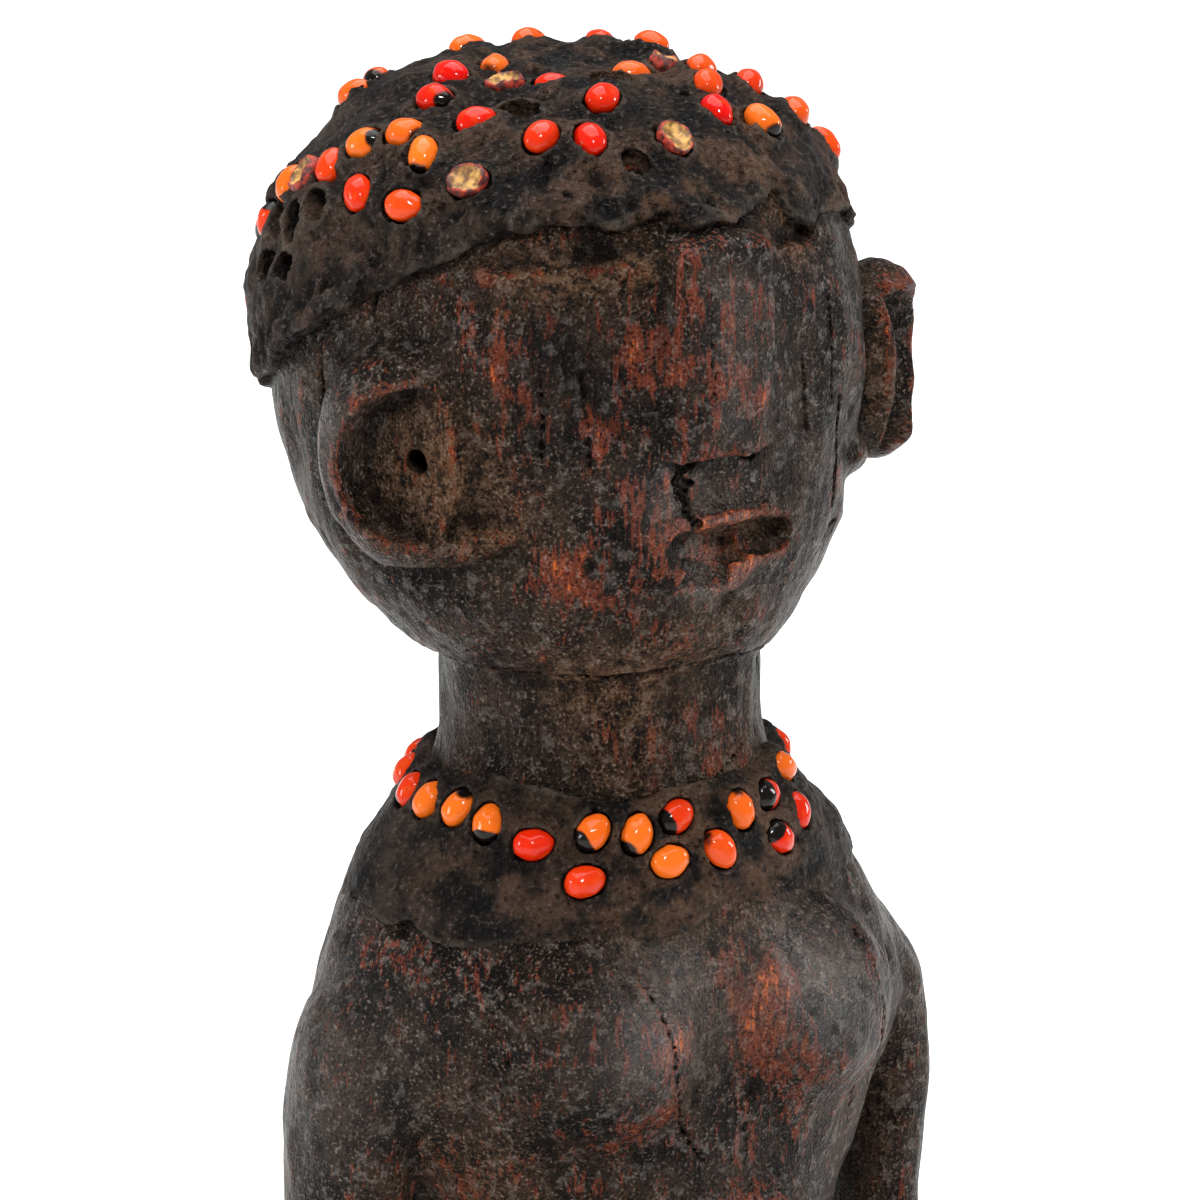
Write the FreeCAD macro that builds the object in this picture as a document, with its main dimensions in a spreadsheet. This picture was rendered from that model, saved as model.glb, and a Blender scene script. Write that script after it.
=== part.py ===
"""Carved wooden doll with a resin cap and a resin collar, both set with bead-like seeds.

The figure is one piece of wood: a large round head on a column neck, sloping shoulders,
arms that hang free of the waist and join the hips at the hands, and short bent legs.
A thick skin of dark resin covers the crown and the back of the head down to a tilted rim.
A second skin of resin wraps the foot of the neck. Seeds are pressed into both.

Millimetres, +Z up, the face looks along -Y. The origin is under the middle of the
figure's box, on the ground. Lengths come from the sheet "dims"; the station tables give
shares of those lengths.
"""
import FreeCAD
import Part

import math
import os
import random

Vector = FreeCAD.Vector
doc = FreeCAD.newDocument("fertility_doll")

# ---------------------------------------------------------------- driving dimensions

DIMENSIONS = (
    # alias, millimetres or degrees
    ("head_width", 98.0),        # across the wood, ears left out
    ("head_depth", 97.0),        # forehead to nape
    ("head_centre", 296.0),      # widest level of the head above the ground
    ("head_back", 11.0),         # head's middle behind the neck's middle
    ("crown_rise", 42.6),        # head's middle to the top of the wood
    ("jaw_drop", 50.0),          # head's middle to the neck
    ("cap_thickness", 3.4),
    ("cap_rise", 7.0),           # rim plane above the head's middle
    ("cap_tilt", 27.0),          # the rim falls this steeply towards the nape
    ("ear_spread", 45.0),        # ear's middle from the mid plane
    ("ear_height", 34.0),
    ("ear_hole", 4.4),           # diameter of the hole in the ear
    ("ear_hole_depth", 12.0),
    ("mouth_width", 22.0),
    ("mouth_height", 4.8),
    ("eye_width", 10.0),
    ("eye_height", 5.0),
    ("neck_width", 53.6),
    ("shoulder_width", 106.0),   # torso alone
    ("torso_depth", 70.0),
    ("torso_base", 82.0),        # crotch above the ground
    ("torso_height", 147.0),     # crotch to the foot of the neck
    ("arm_spread", 51.3),        # arm's middle from the mid plane
    ("arm_width", 16.0),
    ("arm_depth", 26.0),
    ("hand_level", 80.5),
    ("arm_length", 119.5),
    ("leg_spread", 22.0),
    ("leg_width", 31.0),
    ("leg_depth", 36.0),
    ("leg_length", 97.0),
    ("foot_length", 58.0),
    ("foot_width", 33.0),
    ("collar_thickness", 2.2),
    ("collar_base", 205.0),
    ("collar_height", 24.5),
    ("seed_length", 6.8),
    ("seed_width", 5.4),
    ("seed_thickness", 5.0),
    ("neck_back", -11.0),        # the neck's middle, measured from the middle of the box
)

dims = doc.addObject("Spreadsheet::Sheet", "dims")
for row, (alias, value) in enumerate(DIMENSIONS, start=1):
    dims.set(f"A{row}", alias)
    dims.set(f"B{row}", str(value))
    dims.setAlias(f"B{row}", alias)
doc.recompute()


def size(alias):
    """The number that the sheet holds under an alias."""
    return float(dims.get(alias))


def spot(x, y, z):
    """A point given from the neck's axis, in the frame of the whole object."""
    return Vector(x, y + size("neck_back"), z)


# ---------------------------------------------------------------- small builders

def bind(thing, **formulas):
    """Ties properties of an object to the sheet; at_x stands for Placement.Base.x."""
    for name, formula in formulas.items():
        path = f"Placement.Base.{name[-1]}" if name.startswith("at_") else name
        thing.setExpression(path, formula)
    return thing


def ellipse(name, x, y, z, half_x, half_y):
    """A level ellipse whose middle and two half axes are formulas in the sheet's aliases."""
    ring = doc.addObject("Part::Ellipse", name)
    bind(ring, MajorRadius=half_x, MinorRadius=half_y, at_x=x, at_y=f"{y} + dims.neck_back", at_z=z)
    return ring


def upright_ellipse(name, x, y, z, half_x, half_y):
    """The same for an ellipse that is deeper along Y than it is wide along X."""
    ring = doc.addObject("Part::Ellipse", name)
    ring.Placement.Rotation = FreeCAD.Rotation(Vector(0, 0, 1), 90)
    bind(ring, MajorRadius=half_y, MinorRadius=half_x, at_x=x, at_y=f"{y} + dims.neck_back", at_z=z)
    return ring


def loft(name, rings):
    """A closed solid through a column of rings."""
    body = doc.addObject("Part::Loft", name)
    body.Sections = rings
    body.Solid = True
    body.Ruled = False
    return body


def ellipsoid(name, centre, radii, tip=(0.0, 0.0, 0.0)):
    """An ellipsoid from three half axes along X, Y and Z, turned by yaw, pitch and roll."""
    ball = doc.addObject("Part::Ellipsoid", name)
    ball.Radius2, ball.Radius3, ball.Radius1 = radii
    ball.Placement = FreeCAD.Placement(spot(*centre), FreeCAD.Rotation(*tip))
    return ball


def cut(name, base, tool):
    piece = doc.addObject("Part::Cut", name)
    piece.Base, piece.Tool = base, tool
    return piece


def joined(name, members):
    """All members grown into one solid, one after another."""
    body = members[0]
    for number, member in enumerate(members[1:], start=1):
        piece = doc.addObject("Part::Fuse", f"{name}_{number}")
        piece.Base, piece.Tool = body, member
        body = piece
    return body


def carved(name, body, tools):
    """A body less every tool, one after another."""
    for number, tool in enumerate(tools, start=1):
        body = cut(f"{name}_{number}", body, tool)
    return body


def compound(name, members):
    group = doc.addObject("Part::Compound", name)
    group.Links = members
    return group


def both_sides(maker, name):
    """The left and the right copy of a feature, as maker(name, side)."""
    return [maker(f"{name}_{label}", side) for label, side in (("left", 1), ("right", -1))]


# ---------------------------------------------------------------- head

# share of the rise or drop from the head's middle, share of the width, share of head_back
HEAD_STATIONS = (
    (-1.06, 0.480, 0.02), (-1.00, 0.551, 0.09), (-0.93, 0.653, 0.18), (-0.86, 0.724, 0.29), (-0.78, 0.786, 0.42),
    (-0.66, 0.863, 0.59), (-0.52, 0.925, 0.75), (-0.38, 0.963, 0.87), (-0.20, 0.990, 0.96),
    (0.00, 1.000, 1.00), (0.22, 0.986, 1.00), (0.39, 0.951, 1.00), (0.55, 0.898, 1.00),
    (0.68, 0.827, 1.00), (0.79, 0.735, 1.00), (0.87, 0.622, 1.00), (0.94, 0.480, 1.00),
    (0.98, 0.327, 1.00), (1.00, 0.122, 1.00),
)
CAP_FIRST_STATION = 6  # the cap's skin starts below its lowest point, at the nape


def head_rings(name, stations, skin="0"):
    """Rings of the head, grown outwards by skin."""
    rings = []
    for number, (rise, spread, back) in enumerate(stations):
        reach = f"(dims.crown_rise + {skin})" if rise > 0 else "dims.jaw_drop"
        rings.append(ellipse(
            f"{name}_{number}", "0", f"{back} * dims.head_back",
            f"dims.head_centre + {rise} * {reach}",
            f"{spread} * dims.head_width / 2 + {skin}",
            f"{spread} * dims.head_depth / 2 + {skin}",
        ))
    return rings


def head():
    return loft("head", head_rings("head_ring", HEAD_STATIONS))


def nose():
    """A broad low nose with a flat underside."""
    bridge = ellipsoid("nose_bridge", (0, -32.5, 301), (11, 8.4, 21))
    trim = doc.addObject("Part::Box", "nose_trim")
    trim.Length, trim.Width, trim.Height = 40, 40, 20
    trim.Placement.Base = spot(-20, -50, 266.5)
    return cut("nose", bridge, trim)


def muzzle():
    return ellipsoid("muzzle", (0, -25, 272), (21, 14.2, 15))


def ear_middle(side):
    """The ears are not level: the doll's left one sits higher and further back."""
    forward, height = (-6, 289) if side > 0 else (-15, 285.5)
    return side * size("ear_spread"), forward, height


def ear_shell(name, side):
    return ellipsoid(name, ear_middle(side), (10.5, 14.5, size("ear_height") / 2))


def ear_cup(name, side):
    """The hollow of the ear, open forwards and outwards."""
    x, y, z = ear_middle(side)
    return ellipsoid(name, (x + side * 5, y - 4, z - 0.5), (8, 14.5, 13.5), tip=(side * 8, 0, 0))


def ear_hole(name, side):
    x, y, z = ear_middle(side)
    drill = doc.addObject("Part::Cylinder", name)
    drill.Placement = FreeCAD.Placement(
        spot(x, y + 1, z), FreeCAD.Rotation(Vector(0, 0, 1), Vector(-side, 0.45, 0)))
    return bind(drill, Radius="dims.ear_hole / 2", Height="dims.ear_hole_depth")


def eye_socket(name, side):
    return ellipsoid(
        name, (side * 20, -32, 321),
        (size("eye_width") / 2, 3.6, size("eye_height") / 2), tip=(side * 33, 0, 0))


def nostril(name, side):
    return ellipsoid(name, (side * 5.5, -38, 286.6), (1.8, 1.6, 2.0))


def mouth():
    return ellipsoid("mouth", (0, -39.5, 272), (size("mouth_width") / 2, 6.5, size("mouth_height") / 2))


# ---------------------------------------------------------------- torso and limbs

# share of torso_height, share of shoulder_width, share of torso_depth
TORSO_STATIONS = (
    (0.000, 0.49, 0.57), (0.041, 0.66, 0.83), (0.102, 0.755, 0.97), (0.177, 0.774, 1.03),
    (0.259, 0.698, 0.957), (0.327, 0.651, 0.914), (0.395, 0.679, 0.929), (0.463, 0.732, 0.957),
    (0.524, 0.811, 0.971), (0.585, 0.896, 0.986), (0.646, 0.981, 1.00), (0.707, 1.00, 1.00),
    (0.776, 0.953, 0.986), (0.844, 0.858, 0.957), (0.905, 0.726, 0.914), (0.952, 0.595, 0.843),
)
NECK_STATIONS = ((-66.0, 1.015), (-58.0, 1.000), (-49.0, 1.000), (-40.0, 0.970))  # above head_centre, width
COLLAR_FIRST_STATION = 12  # the collar's skin starts below its lower edge

# share of arm_length above the hand, share of arm_spread, forward shift, shares of width and depth
ARM_STATIONS = (
    (0.00, 0.86, -9.5, 0.44, 0.42), (0.05, 0.88, -9.0, 0.75, 0.69), (0.11, 0.90, -8.0, 0.88, 0.77),
    (0.18, 0.94, -6.0, 0.85, 0.70), (0.29, 0.99, -3.0, 0.95, 0.85), (0.40, 1.00, -1.0, 1.02, 0.96),
    (0.50, 1.00, 0.0, 0.97, 0.96), (0.62, 1.00, 0.0, 1.00, 1.00), (0.75, 0.99, 0.0, 1.08, 1.04),
    (0.85, 0.955, 0.0, 1.12, 1.04), (0.93, 0.88, 0.0, 1.06, 0.92), (1.00, 0.78, 0.0, 0.75, 0.69),
)

# share of leg_length, forward shift, shares of leg_width and leg_depth
LEG_STATIONS = (
    (0.06, 2.0, 0.76, 0.82), (0.17, 2.0, 0.77, 0.83), (0.27, 2.0, 0.81, 0.83), (0.39, 0.0, 0.90, 0.97),
    (0.52, -5.0, 0.90, 0.92), (0.62, -6.0, 1.00, 1.00), (0.74, -3.0, 1.06, 1.11),
    (0.87, 0.0, 1.19, 1.33), (1.00, 1.0, 1.22, 1.45),
)

# height above the ground, forward shift, shares of foot_width and foot_length
FOOT_STATIONS = (
    (0.0, -8.0, 0.96, 0.98), (4.0, -8.0, 1.00, 1.00), (9.0, -6.5, 0.94, 0.90), (13.0, -3.5, 0.80, 0.70),
    (17.0, 0.0, 0.66, 0.48),
)


def torso_rings(name, stations, skin="0"):
    rings = []
    for number, (rise, wide, deep) in enumerate(stations):
        rings.append(ellipse(
            f"{name}_{number}", "0", "0", f"dims.torso_base + {rise} * dims.torso_height",
            f"{wide} * dims.shoulder_width / 2 + {skin}", f"{deep} * dims.torso_depth / 2 + {skin}",
        ))
    return rings


def neck_rings(name, stations, skin="0"):
    rings = []
    for number, (rise, wide) in enumerate(stations):
        radius = f"{wide} * dims.neck_width / 2 + {skin}"
        rings.append(ellipse(f"{name}_{number}", "0", "0", f"dims.head_centre + {rise}", radius, radius))
    return rings


def torso():
    """Trunk and neck in one column, from the crotch up into the head."""
    trunk = torso_rings("torso_ring", TORSO_STATIONS)
    return loft("torso", trunk + neck_rings("neck_ring", NECK_STATIONS))


def arm(name, side):
    rings = []
    for number, (rise, out, forward, wide, deep) in enumerate(ARM_STATIONS):
        rings.append(upright_ellipse(
            f"{name}_ring_{number}", f"{side * out} * dims.arm_spread", f"{forward}",
            f"dims.hand_level + {rise} * dims.arm_length",
            f"{wide} * dims.arm_width / 2", f"{deep} * dims.arm_depth / 2",
        ))
    return loft(name, rings)


def leg(name, side):
    rings = []
    for number, (rise, forward, wide, deep) in enumerate(LEG_STATIONS):
        rings.append(upright_ellipse(
            f"{name}_ring_{number}", f"{side} * dims.leg_spread", f"{forward}",
            f"{rise} * dims.leg_length",
            f"{wide} * dims.leg_width / 2", f"{deep} * dims.leg_depth / 2",
        ))
    return loft(name, rings)


def foot(name, side):
    rings = []
    for number, (height, forward, wide, deep) in enumerate(FOOT_STATIONS):
        rings.append(upright_ellipse(
            f"{name}_ring_{number}", f"{side} * dims.leg_spread", f"{forward}", f"{height}",
            f"{wide} * dims.foot_width / 2", f"{deep} * dims.foot_length / 2",
        ))
    return loft(name, rings)


def breast(name, side):
    return ellipsoid(name, (side * 19, -20, 188), (19, 18.5, 21))


def nipple(name, side):
    return ellipsoid(name, (side * 10.5, -36.5, 195), (2.6, 2.4, 2.8))


def buttock(name, side):
    return ellipsoid(name, (side * 18, 20, 105), (19, 18, 20))


def belly():
    return ellipsoid("belly", (0, -12, 146), (28, 28.5, 27))


def navel():
    return ellipsoid("navel", (0, -39.5, 140), (4.0, 3.4, 4.2))


def wood_figure():
    """The whole figure, which is carved from one block."""
    solid = joined("figure_block", [
        torso(), head(), nose(), muzzle(), belly(), navel(),
        *both_sides(ear_shell, "ear"), *both_sides(breast, "breast"), *both_sides(nipple, "nipple"),
        *both_sides(buttock, "buttock"), *both_sides(arm, "arm"), *both_sides(leg, "leg"),
        *both_sides(foot, "foot"),
    ])
    return carved("carving", solid, [
        mouth(), *both_sides(ear_cup, "ear_cup"), *both_sides(ear_hole, "ear_hole"),
        *both_sides(eye_socket, "eye_socket"), *both_sides(nostril, "nostril"),
    ])


# ---------------------------------------------------------------- resin

def cap_blank(wood):
    """The skin of resin over the crown, above the tilted rim, still without its seeds."""
    skin = loft("cap_skin", head_rings("cap_ring", HEAD_STATIONS[CAP_FIRST_STATION:], "dims.cap_thickness"))
    above_rim = doc.addObject("Part::Box", "above_rim")
    above_rim.Length, above_rim.Width, above_rim.Height = 160, 200, 120
    turn = FreeCAD.Rotation(Vector(1, 0, 0), -size("cap_tilt"))
    corner = spot(0, size("head_back"), size("head_centre") + size("cap_rise"))
    above_rim.Placement = FreeCAD.Placement(corner + turn.multVec(Vector(-80, -100, 0)), turn)
    dome = doc.addObject("Part::Common", "cap_dome")
    dome.Base, dome.Tool = skin, above_rim
    return cut("cap_blank", dome, wood)


def collar_blank(wood):
    """The skin of resin round the foot of the neck and over the shoulders."""
    rings = torso_rings("collar_ring", TORSO_STATIONS[COLLAR_FIRST_STATION:], "dims.collar_thickness")
    rings += neck_rings("collar_neck_ring", NECK_STATIONS, "dims.collar_thickness")
    skin = loft("collar_skin", rings)
    slab = doc.addObject("Part::Box", "collar_slab")
    slab.Length, slab.Width = 160, 120
    slab.Placement.Base = spot(-80, -60, 0)
    bind(slab, Height="dims.collar_height", at_z="dims.collar_base")
    band = doc.addObject("Part::Common", "collar_band")
    band.Base, band.Tool = skin, slab
    return cut("collar_blank", band, wood)


# ---------------------------------------------------------------- seeds

# bearing from the face towards the doll's left, lift above the level through the head's
# middle, turn of the long axis from the meridian (all in degrees), and how far the seed's
# middle lies below the resin's face, in millimetres
CAP_SEEDS = (
    (-81, 57, 80, 0.3), (-77, 47, 70, 0.3), (-87, 43, 50, 0.4), (-67, 43, 155, 0.2), (-66, 33, 85, 0.0),
    (-80, 34, 140, 0.7), (-94, 37, 150, 0.7), (-108, 31, 10, 0.5), (-113, 23, 15, 0.6), (-130, 75, 85, 0.4),
    (-100, 66, 60, 0.7), (41, 75, 165, 0.4), (-17, 61, 40, 0.5), (-25, 49, 170, 0.5), (-38, 50, 30, 0.7),
    (32, 47, 5, 0.1), (57, 63, 110, 0.6), (38, 60, 70, 0.7), (66, 53, 100, 0.6), (61, 44, 80, 0.6),
    (-40, 73, 95, 0.7), (-59, 53, 60, 0.8), (22, 53, 20, 0.8),
)
CAP_BROKEN_SEEDS = (
    (-53, 39, 75, 0.3), (-100, 34, 15, 0.3), (-2, 48, 170, 0.5), (-69, 71, 40, 0.6), (66, 70, 90, 0.3),
)
CAP_EMPTY_SOCKETS = (
    (-90, 30, 20, 0.3), (-96, 26, 0, 0.3), (-105, 25, 10, 0.3), (-104, 16, 5, 0.3), (-96, 18, 0, 0.3),
    (-14, 44, 20, 0.4), (-4, 71, 60, 0.4), (-47, 58, 90, 0.4),
)

# bearing, height above the ground, turn of the long axis from upright, depth
COLLAR_SEEDS = (
    (-106, 223.0, 5, 0.1), (-92, 223.5, 0, -0.2), (-78, 224.0, 20, -0.2), (-66, 223.0, 170, -0.1),
    (-51, 221.0, 80, 0.4), (-34, 223.0, 35, -0.1), (-36, 216.0, 75, 0.3), (-21, 222.5, 20, -0.1),
    (-12, 218.0, 80, -0.2), (-8, 224.5, 60, 0.6), (4, 218.5, 155, -0.4), (15, 223.5, 175, -0.2),
    (30, 224.0, 90, 0.2), (28, 217.5, 130, 0.2), (44, 219.5, 30, 0.4), (50, 225.5, 125, 0.1),
    (78, 225.0, 20, -0.2),
)

BACK_SEED_CHANCE = 0.62  # share of the places at the back that still hold their seed
shuffle = random.Random(7)


def facing(surface_shape, start, direction):
    """Where a ray from inside leaves a shape, and the outward normal there."""
    ray = Part.makeLine(start, start + direction * 120)
    ends = [edge.Vertexes[-1].Point for edge in surface_shape.common(ray).Edges]
    point = max(ends, key=lambda end: (end - start).Length)
    hit = surface_shape.distToShape(Part.Vertex(point))
    face = min(surface_shape.Faces, key=lambda f: f.distToShape(Part.Vertex(point))[0])
    u, v = face.Surface.parameter(hit[1][0][0])
    normal = face.normalAt(u, v)
    return point, normal if normal.dot(direction) > 0 else -normal


def seat(point, normal, turn, depth):
    """The placement of a seed whose flat side lies on the resin: local X is its long axis."""
    east = Vector(0, 0, 1).cross(normal).normalize()
    north = normal.cross(east).normalize()
    angle = math.radians(turn)
    along = north * math.cos(angle) + east * math.sin(angle)
    turned = FreeCAD.Rotation(along, normal.cross(along), normal, "XZY")
    return FreeCAD.Placement(point - normal * depth, turned)


def seed_solid(name, placement):
    seed = doc.addObject("Part::Ellipsoid", name)
    seed.Placement = placement
    return bind(seed, Radius2="dims.seed_length / 2", Radius3="dims.seed_width / 2",
                Radius1="dims.seed_thickness / 2")


def cap_seat(skin_shape, bearing, lift, turn, depth):
    middle = spot(0, size("head_back"), size("head_centre"))
    b, e = math.radians(bearing), math.radians(lift)
    ray = Vector(math.sin(b) * math.cos(e), -math.cos(b) * math.cos(e), math.sin(e))
    return seat(*facing(skin_shape, middle, ray), turn, depth)


def collar_seat(skin_shape, bearing, height, turn, depth):
    b = math.radians(bearing)
    ray = Vector(math.sin(b), -math.cos(b), 0)
    return seat(*facing(skin_shape, spot(0, 0, height), ray), turn, depth)


def broken_seed(name, placement):
    """A seed whose face has broken away level with the resin."""
    whole = seed_solid(f"{name}_whole", placement)
    knife = doc.addObject("Part::Box", f"{name}_break")
    knife.Length, knife.Width, knife.Height = 12, 12, 6
    lift = placement.Rotation.multVec(Vector(-6, -6, 0.9))
    knife.Placement = FreeCAD.Placement(placement.Base + lift, placement.Rotation)
    return cut(name, whole, knife)


def back_places():
    """Bearings and lifts of the seed places on the back and the far side of the cap."""
    for lift, first, last, step in ((-8, 140, 222, 13), (6, 118, 240, 12.5), (20, 92, 232, 12.5),
                                    (34, 76, 238, 15), (48, 84, 238, 18), (62, 84, 236, 26),
                                    (76, 100, 205, 50)):
        bearing = first
        while bearing <= last:
            yield bearing + shuffle.uniform(-2, 2), lift + shuffle.uniform(-2, 2)
            bearing += step


# ---------------------------------------------------------------- assembly

def build():
    carving = wood_figure()
    cap = cap_blank(carving)
    collar = collar_blank(carving)
    doc.recompute()
    cap_skin = doc.getObject("cap_skin").Shape
    collar_skin = doc.getObject("collar_skin").Shape

    named = {}
    for number, place in enumerate(CAP_SEEDS, start=1):
        named[f"cap_seed_{number:02d}"] = cap_seat(cap_skin, *place)
    for number, place in enumerate(COLLAR_SEEDS, start=1):
        named[f"collar_seed_{number:02d}"] = collar_seat(collar_skin, *place)
    broken = {f"cap_broken_seed_{number}": cap_seat(cap_skin, *place)
              for number, place in enumerate(CAP_BROKEN_SEEDS, start=1)}
    sockets = [cap_seat(cap_skin, *place) for place in CAP_EMPTY_SOCKETS]
    back = []
    for bearing, lift in back_places():
        place = cap_seat(cap_skin, bearing, lift, shuffle.uniform(0, 180), shuffle.uniform(0, 0.5))
        (back if shuffle.random() < BACK_SEED_CHANCE else sockets).append(place)
    collar_back = [collar_seat(collar_skin, bearing, 223.5 + shuffle.uniform(-1.2, 1.2),
                               shuffle.uniform(-25, 25), shuffle.uniform(-0.2, 0.3))
                   for bearing in range(93, 246, 13)]

    parts = {}
    cap_tools, collar_tools = [], []
    for name, place in named.items():
        parts[name] = seed_solid(name, place)
        (collar_tools if name.startswith("collar") else cap_tools).append(parts[name])
    for name, place in broken.items():
        parts[name] = broken_seed(name, place)
        cap_tools.append(doc.getObject(f"{name}_whole"))
    cap_tools += [seed_solid(f"socket_{n}", place) for n, place in enumerate(sockets)]
    for name, places, tools in (("cap_back_seeds", back, cap_tools),
                                ("collar_back_seeds", collar_back, collar_tools)):
        members = [seed_solid(f"{name}_{n}", place) for n, place in enumerate(places)]
        tools.extend(members)
        parts[name] = compound(name, members)

    parts["resin_cap"] = cut("resin_cap", cap, compound("cap_seats", cap_tools))
    parts["resin_collar"] = cut("resin_collar", collar, compound("collar_seats", collar_tools))
    parts["wood_figure"] = carving
    doc.recompute()
    return parts


def check(parts):
    for thing in doc.Objects:
        if {"Invalid", "Error"} & set(thing.State):
            raise RuntimeError(f"{thing.Name} failed: {thing.State}")
    for name, piece in parts.items():
        if piece.Shape.isNull() or not piece.Shape.isValid() or not piece.Shape.Solids:
            raise RuntimeError(f"{name} has no valid solid")


def export(parts):
    os.makedirs("parts", exist_ok=True)
    for old in os.listdir("parts"):
        os.remove(os.path.join("parts", old))
    for name, piece in parts.items():
        piece.Label = name
        piece.Shape.exportStep(f"parts/{name}.step")
        if name in ("wood_figure", "resin_cap", "resin_collar"):
            print(name, len(piece.Shape.Solids), "solid", round(piece.Shape.Volume), "mm3", piece.Shape.BoundBox)


parts = build()
check(parts)
export(parts)
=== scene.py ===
"""Looks of a carved wooden doll whose crown and neck are covered with resin set with seeds."""

import math

import bpy
import numpy as np
import openvdb
from mathutils import Matrix, Vector


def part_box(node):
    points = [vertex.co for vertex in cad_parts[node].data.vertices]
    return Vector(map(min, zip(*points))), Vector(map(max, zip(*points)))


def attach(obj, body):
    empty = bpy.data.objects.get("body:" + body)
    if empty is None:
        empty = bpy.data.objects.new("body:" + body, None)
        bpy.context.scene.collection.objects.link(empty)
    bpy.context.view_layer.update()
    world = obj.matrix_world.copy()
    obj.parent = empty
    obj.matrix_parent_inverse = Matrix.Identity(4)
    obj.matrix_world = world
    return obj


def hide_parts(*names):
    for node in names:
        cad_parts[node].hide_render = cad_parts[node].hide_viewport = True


bl_info = {
    "name": "Seeded wooden doll",
    "version": (1, 0, 0),
    "blender": (4, 5, 0),
    "location": "3D View > Sidebar > Doll",
    "description": "Builds a carved doll with a resin cap and collar set with seeds",
    "category": "Object",
}

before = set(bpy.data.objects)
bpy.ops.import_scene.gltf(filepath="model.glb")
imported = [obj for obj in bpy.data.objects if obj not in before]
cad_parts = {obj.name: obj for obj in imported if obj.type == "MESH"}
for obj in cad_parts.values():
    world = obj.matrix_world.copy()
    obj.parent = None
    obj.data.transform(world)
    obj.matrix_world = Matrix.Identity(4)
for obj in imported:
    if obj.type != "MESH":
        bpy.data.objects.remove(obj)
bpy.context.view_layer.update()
MM = 0.001

CAP_LOW, CAP_HIGH = (np.array(corner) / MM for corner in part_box("resin_cap"))
COLLAR_LOW, COLLAR_HIGH = (np.array(corner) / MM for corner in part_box("resin_collar"))
WOOD_LOW, WOOD_HIGH = (np.array(corner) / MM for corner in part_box("wood_figure"))

# Every place below is in millimetres from the neck's axis and the ground.
AXIS_Y = (COLLAR_LOW[1] + COLLAR_HIGH[1]) / 2
HEAD_MIDDLE = np.array([0.0, 11.0 + AXIS_Y, 296.0])
SEAM = (COLLAR_LOW[2] + 6.0, COLLAR_LOW[2] + 13.0)  # head and body pieces overlap here, under the collar


# ---------------------------------------------------------------- sculpting in a block of distances

def soft_min(a, b, blend):
    """The smaller of two distances, with a fillet of about the given width between them."""
    if blend <= 0:
        return np.minimum(a, b)
    share = np.clip(0.5 + 0.5 * (b - a) / blend, 0, 1)
    return b + (a - b) * share - blend * share * (1 - share)


def along_axis(axis, start, x, y, z):
    """How far along an axis each point lies from a start."""
    return axis[0] * (x - start[0]) + axis[1] * (y - start[1]) + axis[2] * (z - start[2])


def spline_weights(positions):
    """Cubic spline weights that spread rows of knots over the given positions."""
    count = int(positions[-1]) + 4
    weights = np.zeros((len(positions), count), np.float32)
    whole = positions.astype(int)
    part = positions - whole
    rows = np.arange(len(positions))
    for offset, value in enumerate((
        (1 - part) ** 3, 3 * part ** 3 - 6 * part ** 2 + 4,
        -3 * part ** 3 + 3 * part ** 2 + 3 * part + 1, part ** 3,
    )):
        weights[rows, whole + offset] = value / 6
    return weights


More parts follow.
